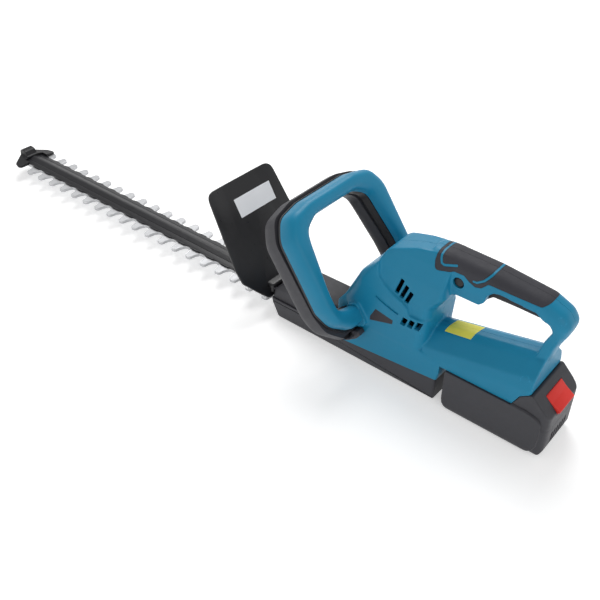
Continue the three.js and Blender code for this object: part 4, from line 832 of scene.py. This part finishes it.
for side in (1, -1):
    case_room.append(rod("Y", *LEVER_PIVOT, *outward(side, 22.6, 40), 6.2))
cut(case, *case_room)
fitted(case, "gearbox_case", "tool_body", "grey_plastic", grey, "gear_case")

# ---- hand guard ----
# A tilted plate of black nylon, 3 mm thick, that stands between the front hand and the blades.
# Its sides are bent back slightly, and a collar behind it is screwed to the gear case.

GUARD_FOOT = 112
GUARD_THICK = 3
BEND_AT = 42.0
BEND_LEAN = 0.10
BEND_SLOPE = 0.11
GUARD_TILT = math.atan(0.6)
GUARD_SLOPE = 1 / math.cos(GUARD_TILT)
GUARD_UP = Vector((math.sin(GUARD_TILT), 0, math.cos(GUARD_TILT)))
GUARD_FORWARD = Vector((math.cos(GUARD_TILT), 0, -math.sin(GUARD_TILT)))
GUARD_HALF = [(34, 26, 8), (64, 56, 8), (66, 72, 20), (57, 159, 14)]


def at_guard(y, s, w):
    """A point of the guard's own plane: y across, s up the plate, w forwards out of it."""
    return Vector((GUARD_FOOT, y, 0)) + GUARD_UP * s + GUARD_FORWARD * w


guard_outline = [(y, z * GUARD_SLOPE, r) for y, z, r in GUARD_HALF]
guard_outline += [(-y, s, r) for y, s, r in reversed(guard_outline)]
bm = bmesh.new()
ring = [bm.verts.new(Vector((y, s, 0))) for y, s in curved_corners(guard_outline, 8)]
extruded(bm, ring, Vector((0, 0, GUARD_THICK)))
rims = [e for e in bm.edges if abs(e.verts[0].co.z - e.verts[1].co.z) < 1e-6]
bmesh.ops.bevel(bm, geom=rims, offset=0.9, segments=4, profile=0.5, affect="EDGES", clamp_overlap=False,
                material=-1)
for side in (1, -1):
    for crease in (BEND_AT - 2, BEND_AT + 2):
        bmesh.ops.bisect_plane(bm, geom=bm.verts[:] + bm.edges[:] + bm.faces[:], dist=1e-5,
                               plane_co=(side * crease, 60, 0), plane_no=(side, BEND_LEAN, 0))
for v in bm.verts:
    beyond = max(0.0, abs(v.co.x) + BEND_LEAN * (v.co.y - 60) - BEND_AT)
    v.co.z -= BEND_SLOPE * beyond
    v.co = at_guard(v.co.x, v.co.y, v.co.z) * MM
bmesh.ops.recalc_face_normals(bm, faces=bm.faces)
plate = object_from(bm)
COLLAR_REAR = CASE_FRONT + 0.3
COLLAR_LOW = 28.7
collar = meet(carried([(COLLAR_REAR, -28, 6), (150.3, -28, 2), (150.3, 28, 2), (COLLAR_REAR, 28, 6)],
                      "Z", COLLAR_LOW, 42.5, rim=3.5, rim_steps=5),
              across([(60, 0), (113, 0), (233, 200), (60, 200)], 90))
join(plate, collar)
cut(plate, box(0, 400, -12, 12, -10, COLLAR_LOW), box(60, COLLAR_REAR, -90, 90, 0, 60))
for y, z in GUARD_SCREWS:
    cut(plate, rod("X", y, z, 116, 260, 2.6), rod("X", y, z, 131.3, 260, 5))
guard_black = moulded("guard_nylon", tone(30, 30, 33), 0.32, grain=0.10, grain_scale=1100.0, spread=0.10,
                      gloss=0.5)
foot_up = GUARD_FOOT * GUARD_UP.x
flat_patch(guard_black, tone(244, 246, 250), [
    ((0, 1, 0), 21), ((0, -1, 0), 43.5), (GUARD_UP, 163 + foot_up), (-GUARD_UP, -138 - foot_up),
    (GUARD_FORWARD, 0.5 + GUARD_FOOT * GUARD_FORWARD.x)])
fitted(plate, "guard_plate", "tool_body", "black_plastic", guard_black, "hand_guard")

# ---- blades ----
# Two reciprocating blades of ground steel, laid one on the other, with teeth on both edges.
# Each tooth has a round tip and ground flanks; the yoke at the rear runs round the crank.

BLADE_END = 684
BLADE_HALF = 16
BLADE_THICK = 2.2
UPPER_BLADE_LOW = 19.2
LOWER_BLADE_LOW = 16.7
BOLT_PLACES = [*FRAME_BOLTS, 165, 280, 395, 510, 625]
YOKE_SLOT = (abs(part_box("upper_blade")[0][0]) / MM - 4.5, 18.6)


def toothed_edge(side):
    """One edge of a blade from rear to front, with curled roots and round tips."""
    points = []
    for x in reversed(tooth_places(side)):
        points += [(x - 10.2, BLADE_HALF * side, 4), (x - 6.0, 23 * side, 14), (x - 4.9, 33.2 * side, 4.6),
                   (x + 4.9, 33.2 * side, 4.6), (x + 6.0, 23 * side, 14), (x + 10.2, BLADE_HALF * side, 4)]
    return points


def slot(x, half_x, half_y):
    """A rounded slot through a blade, which lets it slide past a bolt or the crank."""
    return carried([(x - half_x, -half_y, 1.5), (x + half_x, -half_y, 1.5), (x + half_x, half_y, 1.5),
                    (x - half_x, half_y, 1.5)], "Z", 10, 30)


def blade(low, ground_up):
    """A blade whose underside is at low; its teeth are ground on the upper or on the lower side."""
    outline = [(-17.3, -19.5, 4), (17.3, -19.5, 4), (19, -BLADE_HALF, 2), *toothed_edge(-1),
               (BLADE_END, -BLADE_HALF, 6), (BLADE_END, BLADE_HALF, 6), *reversed(toothed_edge(1)),
               (19, BLADE_HALF, 2), (17.3, 19.5, 4), (-17.3, 19.5, 4)]
    bm = bmesh.new()
    ring = [bm.verts.new(Vector((a, b, low)) * MM) for a, b in curved_corners(outline, 4)]
    extruded(bm, ring, Vector((0, 0, BLADE_THICK * MM)))
    level = (low + BLADE_THICK if ground_up else low) * MM
    rim = [e for e in bm.edges if all(abs(v.co.z - level) < 1e-7 for v in e.verts) and e.verts[0].co.x > 0.1]
    bmesh.ops.bevel(bm, geom=rim, offset=0.55 * MM, segments=1, profile=0.5, affect="EDGES",
                    clamp_overlap=True, material=-1)
    return cut(object_from(bm), slot(0, *YOKE_SLOT), *[slot(x, 11, 3.4) for x in BOLT_PLACES])


STREAKS = 900.0


def ground_steel(name, colour, rough, streak_axis, coat=0.0, metal=1.0):
    """Ground metal: fine streaks along one axis over a slow clouding of its colour."""
    material, shader, link = finish(name)
    place = node_of(material, "ShaderNodeTexCoord")
    turn = node_of(material, "ShaderNodeMapping")
    stretch = [STREAKS, STREAKS, STREAKS]
    stretch[streak_axis] = STREAKS / 40
    turn.inputs["Scale"].default_value = stretch
    link(place.outputs["Object"], turn.inputs["Vector"])
    lines = node_of(material, "ShaderNodeTexNoise", Scale=1.0, Detail=3.0, Roughness=0.6)
    link(turn.outputs["Vector"], lines.inputs["Vector"])
    cloud = node_of(material, "ShaderNodeTexNoise", Scale=45.0, Detail=4.0, Roughness=0.6)
    link(place.outputs["Object"], cloud.inputs["Vector"])
    link(clouded(material, cloud, shade(colour, 0.86), shade(colour, 1.1)), shader.inputs["Base Color"])
    polished(material, lines, rough - 0.08, rough + 0.1)
    shader.inputs["Metallic"].default_value = metal
    shader.inputs["Coat Weight"].default_value = coat
    grained(material, lines, strength=0.12, depth=0.0002, round_edge=0.2)
    return material


blade_metal = ground_steel("ground_blade_steel", tone(205, 206, 208), 0.50, streak_axis=1, metal=0.6)
fitted(blade(UPPER_BLADE_LOW, True), "top_blade", "upper_blade", "blade_steel", blade_metal, "upper_blade")
fitted(blade(LOWER_BLADE_LOW, False), "bottom_blade", "lower_blade", "blade_steel", blade_metal, "lower_blade")

# ---- guide bar ----
# A pressed steel strip over the blades, black-coated, with a tab over each tooth root and a
# roof-shaped spine. The blades hang from it on shoulder bolts; a tongue carries the tip guard.

BAR_HALF = 16.2
TAB_HALF = 17.4
BAR_REAR = 40
TONGUE_HALF = 6
TONGUE_END = 701
TIP_SCREW = 696


def tabbed_edge(side):
    """One edge of the bar from rear to front."""
    points = []
    for x in reversed(tooth_places(side)):
        points += [(x - 9, BAR_HALF * side, 3), (x - 5, TAB_HALF * side, 3), (x + 5, TAB_HALF * side, 3),
                   (x + 9, BAR_HALF * side, 3)]
    return points


bar_outline = [
    (BAR_REAR, -BAR_HALF), *tabbed_edge(-1), (BLADE_END, -BAR_HALF, 2), (BLADE_END, -TONGUE_HALF, 1),
    (TONGUE_END, -TONGUE_HALF, 3), (TONGUE_END, TONGUE_HALF, 3), (BLADE_END, TONGUE_HALF, 1),
    (BLADE_END, BAR_HALF, 2), *reversed(tabbed_edge(1)), (BAR_REAR, BAR_HALF),
]
bar = carried(bar_outline, "Z", 21.7, 23.9, steps=4)
half_roof = [
    (15.6, 23.4), (15.6, 24.1, 0.3), (9.3, 25.3, 0.3), (8.9, 24.9, 0.3), (8.3, 25.5, 0.4), (1.4, 27.5, 1.6),
]
join(bar, carried([(-y, z, *r) for y, z, *r in half_roof] + list(reversed(half_roof)), "X", 128, BLADE_END))
for x in BOLT_PLACES + [TIP_SCREW]:
    cut(bar, rod("Z", x, 0, 20, 25.8 if x > 100 else 30, 2.6))
coated = moulded("bar_black_coating", tone(30, 30, 34), 0.34, grain=0.08, grain_scale=700.0, spread=0.15,
                 gloss=0.5)
fitted(bar, "blade_guide_bar", "tool_body", "bar_coat", coated, "guide_bar")

# ---- tip guard ----
# A black nylon cap over the end of the blades: two swept wings wider than the teeth and a raised
# nose, all softly rounded. It is screwed from below to the guide bar's tongue.

half_wing = [(684.8, 14), (673, 17, 2), (673.5, 32, 4), (678, 35, 3), (690, 32, 6), (703, 13, 8), (707, 9, 3)]
tip = carried(half_wing + [(x, -y, *r) for x, y, *r in reversed(half_wing)], "Z", 21.6, 28.2)
nose_side = [
    (687, 22), (687, 29, 4), (692.5, 36.6, 5), (703, 37.2, 4), (707, 33, 3), (707, 13, 3), (702, 13),
    (702, 22),
]
join(tip, carried([(684.8, -12, 2), (705, -12, 4), (705, 12, 4), (684.8, 12, 2)], "Z", 21.9, 29.4),
     across(nose_side, 9.6))
meet(tip, carried(both_sides([(36, 21), (36, 23.8, 1), (12, 28.6, 2), (9.7, 38, 2)]), "X", 660, 720))
softened(tip, 0.55, 6)
cut(tip, box(650, BLADE_END + 0.5, -16.8, 16.8, 15, 40),
    box(660, TONGUE_END + 0.3, -TONGUE_HALF - 0.3, TONGUE_HALF + 0.3, 15, 24.5),
    rod("Z", TIP_SCREW, 0, 15, 27.8, 2.6))
fitted(tip, "end_guard", "tool_body", "black_plastic", black, "tip_guard")

# ---- screws and bolts ----
# Blackened steel: pan-head screws with six-lobe sockets join the covers and shells, and
# hexagon-socket shoulder bolts hold the blades to the bar.


def stood(bm, place, axis):
    """Moves a form made on the Z axis to its place, with its top towards an axis."""
    heading = Vector((0, 0, 1)).rotation_difference(Vector(axis)).to_matrix().to_4x4()
    bmesh.ops.transform(bm, matrix=Matrix.Translation(Vector(place) * MM) @ heading, verts=bm.verts)
    return object_from(bm)


def turned(profile, place, axis, segments=40):
    """A closed profile [radius, height] turned round an axis that points from the thread to the head."""
    bm = bmesh.new()
    verts = [bm.verts.new(Vector((r, 0, h)) * MM) for r, h in profile]
    edges = [bm.edges.new(pair) for pair in zip(verts, verts[1:])]
    bmesh.ops.spin(bm, geom=verts + edges, angle=2 * math.pi, steps=segments, axis=(0, 0, 1),
                   cent=(0, 0, 0), use_duplicate=False)
    bmesh.ops.remove_doubles(bm, verts=bm.verts, dist=1e-7)
    bmesh.ops.recalc_face_normals(bm, faces=bm.faces)
    return stood(bm, place, axis)


def socket(radius, depth, lobes, place, axis):
    """The recess for a driver: six lobes, or a plain hexagon."""
    bm = bmesh.new()
    steps = 48 if lobes else 6
    ring = []
    for k in range(steps):
        angle = 2 * math.pi * k / steps
        reach = radius * (0.86 + 0.14 * math.cos(6 * angle)) if lobes else radius
        ring.append(bm.verts.new(Vector((reach * math.cos(angle), reach * math.sin(angle), -depth)) * MM))
    extruded(bm, ring, Vector((0, 0, (depth + 2) * MM)))
    return stood(bm, place, axis)


THREAD_PITCH = 0.8


def headed(place, axis, head, height, shank, length, lobes=True, shoulder=None):
    """A screw whose head's top centre is at place; length counts from the top of the head."""
    profile = [(0, 0), (head * 0.82, 0), (head * 0.96, -height / 4), (head, -height / 2), (head, -height)]
    at = -height
    if shoulder:
        radius, depth = shoulder
        profile += [(radius, at), (radius, at - depth)]
        at -= depth
    profile.append((shank, at))
    while at - THREAD_PITCH > -length + 0.6:
        profile += [(shank, at - 0.35), (shank * 0.88, at - THREAD_PITCH)]
        at -= THREAD_PITCH
    profile += [(shank * 0.7, -length), (0, -length)]
    return cut(turned(profile, place, axis), socket(head * 0.55, min(height * 0.7, 2.0), lobes, place, axis))


screw_steel = moulded("blackened_steel", tone(74, 75, 79), 0.34, grain=0.05, grain_scale=2500.0, spread=0.2,
                      metal=1.0, round_edge=0.15)
DOWN = (0, 0, -1)
PAN_HEADS = {  # radius and height of the head, radius of the shank
    "housing": (3.2, 2.6, 1.7), "cover": (3.6, 3.2, 2.0), "guard": (4.4, 2.8, 2.3), "lever": (4.6, 2.5, 3.0),
    "tip": (3.6, 3.7, 2.3),
}


def fasten(screw, name):
    """Fits a screw or bolt to the tool's body."""
    fitted(screw, f"fitted_{name}", "tool_body", "dark_steel", screw_steel, name)


def pan_screw(name, place, axis, length):
    """Makes and fits a pan-head screw, whose kind is the first word of its name."""
    fasten(headed(place, axis, *PAN_HEADS[name.split("_")[0]], length), name)


for i, (x, z) in enumerate(HOUSING_SCREWS):
    pan_screw(f"housing_screw_{i + 1}", (x, -14.6, z), (0, -1, 0), 25.6)
for i, (x, y) in enumerate(COVER_SCREWS):
    pan_screw(f"cover_screw_{i + 1}", (x, y, 1), DOWN, seam_height(x) + 10)
for i, (y, z) in enumerate(GUARD_SCREWS):
    pan_screw(f"guard_screw_{i + 1}", (134.4, y, z), (1, 0, 0), 20.4)
for name, side in (("left", 1), ("right", -1)):
    pan_screw(f"lever_screw_{name}", (LEVER_PIVOT[0], 45.5 * side, LEVER_PIVOT[1]), (0, side, 0), 20.1)
pan_screw("tip_screw", (TIP_SCREW, 0, 17.7), DOWN, 9.8)
for i, x in enumerate(BOLT_PLACES):
    name, length = (f"frame_bolt_{i + 1}", 22.7) if x in FRAME_BOLTS else (f"blade_bolt_{i - 1}", 12.0)
    fasten(headed((x, 0, 13.5), DOWN, 7.0, 2.8, 2.3, length, lobes=False, shoulder=(3.0, 5.1)), name)

# ---- trigger and lock button ----
# Black nylon controls in the rear handle: a long rocking trigger along the top of the finger
# opening, with a pocket in its top for the return spring, and a round button that frees it.

trigger = across([(-108, 151, 3), (-116, 145, 2), (-124, 142.6, 2), (-150, 142.5, 4), (-155, 149, 3),
                  (-161, 154.5, 4), (-188, 155, 10), (-213, 154.5, 3), (-216, 158, 3), (-215, 165, 3),
                  (-190, 165.5), (-160, 165.5, 4), (-150, 158, 6), (-132, 152, 4), (-116, 157.5, 3),
                  (-108, 157.5, 3)], 7.4, rim=1.6, rim_steps=4)
cut(trigger, rod("Y", *TRIGGER_PIVOT, -20, 20, 2.3), rod("Z", -196, 0, 160.6, 168, 4.2))
fitted(trigger, "trigger_bar", "trigger", "black_plastic", black, "trigger")

button_edge = [(0, 17), (3.6, 17), (5.2, 16.5), (6.2, 15.2)]
button_edge += [(r, -y) for r, y in reversed(button_edge)]
button = turned(button_edge, (LOCK[0], 0, LOCK[1]), (0, 1, 0), 48)
fitted(button, "lock_off_button", "lock_button", "black_plastic", black, "lock_button")

# ---- battery pack ----
# A grey two-part nylon case for ten cells that slides in under the rear deck on a rail. Its sides
# are raised panels, its corners are rounded, and six upright grooves run below the red button.

PACK_FRONT = -132.5
PACK_REAR = -257.5
CORE_HALF = 35.4
PANEL_FRONT = -134
PANEL_REAR = -250.5
PANEL_HALF = 37.7
PANEL_TOP = 57.6
CELLS_FRONT = -134.9
CELLS_REAR = -254.2
CELLS_HALF = 32.8
CASE_SEAM = 39
PACK_SPAN = (-300, 0, -CLEAR, CLEAR)


def on_slope(along, out):
    """A point of the side view on the rear's upper slope: along it from its top, out from its face."""
    start = Vector((-235, 79))
    down = (Vector((PACK_REAR, 57.5)) - start).normalized()
    outwards = Vector((down.y, -down.x))
    point = start + down * along + outwards * out
    return (point.x, point.y)


def from_behind(half, top):
    """The pack's cross section, with rounded lower edges."""
    return carried(both_sides([(half, 0, 9), (half, top, 2)]), "X", -300, 0)


def from_above(front, rear, half, front_round, rear_round):
    """The pack's outline from above, its upright edges rounded at the front and at the rear."""
    return carried([(front, -half, front_round), (front, half, front_round), (rear, half, rear_round),
                    (rear, -half, rear_round)], "Z", -20, 120)


core = across([(PACK_FRONT, 0, 16), (PACK_FRONT, 42.3, 3), (-137, 52.6, 3), (-137, 57, 3), (-214.4, 57),
               (-221.6, 71.9), (-232.8, 79.5, 2), (-235, 79.5, 2), (PACK_REAR, 57.5, 4), (PACK_REAR, 0, 15)],
              CORE_HALF)
pack_form = meet(core, from_behind(CORE_HALF, 90), from_above(PACK_FRONT, PACK_REAR, CORE_HALF, 6, 9))
panels = across([(PANEL_FRONT, 0, 18), (PANEL_FRONT, PANEL_TOP, 4), (-230, PANEL_TOP, 12),
                 (PANEL_REAR, 53, 26), (PANEL_REAR, 0, 24)], PANEL_HALF)
join(pack_form, meet(panels, from_behind(PANEL_HALF, PANEL_TOP)))
softened(pack_form, 0.8, 6)
cut(pack_form, box(-214, -120, -40, 40, 56.6, 100), box(*PACK_SPAN, -5, 0))
for i in range(6):
    cut(pack_form, box(-258, -255.3, -17.3 + 6.2 * i, -13.7 + 6.2 * i, 11, 28))


def pack_room(low):
    """The room for the cells inside the pack, above a given height."""
    side_view = across([(CELLS_FRONT, low, 10), (CELLS_FRONT, 41.3), (-139.2, 51.6), (-139.2, 54.2),
                        (-216, 54.2), (-232, 55.6), (CELLS_REAR, 47), (CELLS_REAR, low, 13)], CELLS_HALF)
    return meet(side_view, from_above(CELLS_FRONT, CELLS_REAR, CELLS_HALF, 4, 11))


lower_case = cut(copy_of(pack_form), box(-300, 0, -CORE_HALF - 0.3, CORE_HALF + 0.3, CASE_SEAM, 200),
                 pack_room(2.4))
fitted(lower_case, "battery_lower_case", "battery_pack", "grey_plastic", grey, "pack_lower_case")

upper_case = meet(pack_form, box(-300, 0, -CORE_HALF, CORE_HALF, CASE_SEAM + 0.3, 200))
cut(upper_case, pack_room(0))
join(upper_case, box(-218, -145, -17, 17, 55.6, 67.6), box(-218, -145, -22.5, 22.5, 64, 67.6))
for y in (-8, 8):
    cut(upper_case, box(-159, -143, y - 1.3, y + 1.3, 60.5, 68.6))
pocket = [(*on_slope(9.1, -3.2), 0.5), on_slope(9.1, 6), on_slope(37, 6), (*on_slope(37, -3.2), 0.5)]
cut(upper_case, across(pocket, 17.9))
fitted(upper_case, "battery_upper_case", "battery_pack", "grey_plastic", grey, "pack_upper_case")

red = moulded("red_nylon", tone(232, 54, 46), 0.38, grain=0.05, grain_scale=1600.0, spread=0.08, gloss=0.3)
release = across([(*on_slope(9.5, -2.9), 0.5), (*on_slope(9.5, 0.9), 1.2), (*on_slope(20, 1.2), 12),
                  (*on_slope(32.6, 3.4), 1.2), (*on_slope(32.6, -2.9), 0.5)], 17.5, rim=1.0, rim_steps=4)
fitted(release, "pack_release_button", "release_button", "red_plastic", red, "release_button")

# ---- works inside ----
# The motor, its magnets and fan, the gears and bearings, switches, springs, cells, terminals and
# control board lie inside the shells and show only through the vents and the seams.

steel = ground_steel("machined_steel", tone(190, 190, 194), 0.30, streak_axis=2)
copper = ground_steel("enamelled_copper", tone(184, 116, 58), 0.36, streak_axis=0, coat=0.4)
board_green = moulded("lacquered_board", tone(46, 106, 62), 0.35, grain=0.1, grain_scale=600.0, spread=0.2)
INSIDE = [
    (steel, ["crank_gear", "crank_bearing_upper", "crank_bearing_lower", "motor_pinion", "motor_can",
             "trigger_pin", "trigger_spring", "lever_spring_left", "lever_spring_right", "cell_row_lower",
             "cell_row_upper"]),
    (copper, ["motor_rotor"]),
    (screw_steel, ["motor_magnet"]),
    (black, ["motor_end_cap", "cooling_fan", "rear_switch", "front_switch", "terminal_block"]),
    (board_green, ["control_board"]),
]
for material, names in INSIDE:
    for name in names:
        kept = bpy.data.objects[name]
        kept.data.materials.clear()
        kept.data.materials.append(material)

# ---- floor, light and camera ----
# A plain pale floor, a large soft light above the far side of the tool and a weaker one on the
# near side, and a camera above the rear left corner.

FLOOR_HALF = 12.0
FLOOR_GAP = 0.0005
PAPER_GLOW = 0.42
bm = bmesh.new()
bmesh.ops.create_grid(bm, x_segments=1, y_segments=1, size=FLOOR_HALF)
floor = object_from(bm, "floor")
floor.location.z = cad_box[0][2] - FLOOR_GAP


def shown_to(holder, second):
    """1 for rays that come straight from the camera or are of a second kind, and 0 for the rest."""
    rays = node_of(holder, "ShaderNodeLightPath")
    either = node_of(holder, "ShaderNodeMath", operation="MAXIMUM")
    holder.node_tree.links.new(rays.outputs["Is Camera Ray"], either.inputs[0])
    holder.node_tree.links.new(rays.outputs[second], either.inputs[1])
    return either.outputs[0]


paper, surface, link = finish("pale_paper")
surface.inputs["Base Color"].default_value = (0.93, 0.93, 0.93, 1)
surface.inputs["Roughness"].default_value = 0.9
surface.inputs["Specular IOR Level"].default_value = 0.1
surface.inputs["Emission Color"].default_value = (1, 1, 1, 1)
glow = node_of(paper, "ShaderNodeMath", operation="MULTIPLY")
glow.inputs[1].default_value = PAPER_GLOW
link(shown_to(paper, "Is Glossy Ray"), glow.inputs[0])
link(glow.outputs[0], surface.inputs["Emission Strength"])
floor.data.materials.append(paper)

target = Vector((0.0795, 0.0301, 0.0444))
sight = Vector((-0.5065, 0.6036, 0.6157))


def soft_light(name, place, power):
    """A round soft lamp that points at the tool."""
    lamp = bpy.data.lights.new(name, "AREA")
    lamp.shape = "DISK"
    lamp.size = 1.4
    lamp.energy = power
    thing = bpy.data.objects.new(name, lamp)
    thing.location = place
    thing.rotation_euler = (Vector(place) - target).to_track_quat("Z", "Y").to_euler()
    bpy.context.scene.collection.objects.link(thing)


soft_light("key", (0.8, -0.9, 1.7), 24)
soft_light("fill", (-1.6, 1.1, 1.3), 6)

world = bpy.data.worlds.new("studio")
bpy.context.scene.world = world
world.use_nodes = True
sky = world.node_tree.nodes["Background"]
sky.inputs["Color"].default_value = (1, 1, 1, 1)
around = node_of(world, "ShaderNodeTexCoord")
height = node_of(world, "ShaderNodeSeparateXYZ")
dome = node_of(world, "ShaderNodeMapRange", From_Min=0.15, From_Max=0.60, To_Min=1.0, To_Max=0.35)
level = node_of(world, "ShaderNodeMix")
level.inputs[3].default_value = 1.0
link = world.node_tree.links.new
link(around.outputs["Generated"], height.inputs["Vector"])
link(height.outputs["Z"], dome.inputs["Value"])
link(shown_to(world, "Is Transmission Ray"), level.inputs[0])
link(dome.outputs["Result"], level.inputs[2])
link(level.outputs[0], sky.inputs["Strength"])

lens = bpy.data.cameras.new("camera")
lens.lens = 48.04
lens.sensor_width = 36.0
camera = bpy.data.objects.new("camera", lens)
camera.location = target + sight
camera.rotation_euler = sight.to_track_quat("Z", "Y").to_euler()
bpy.context.scene.collection.objects.link(camera)
bpy.context.scene.camera = camera
bpy.context.scene.view_settings.view_transform = "Standard"
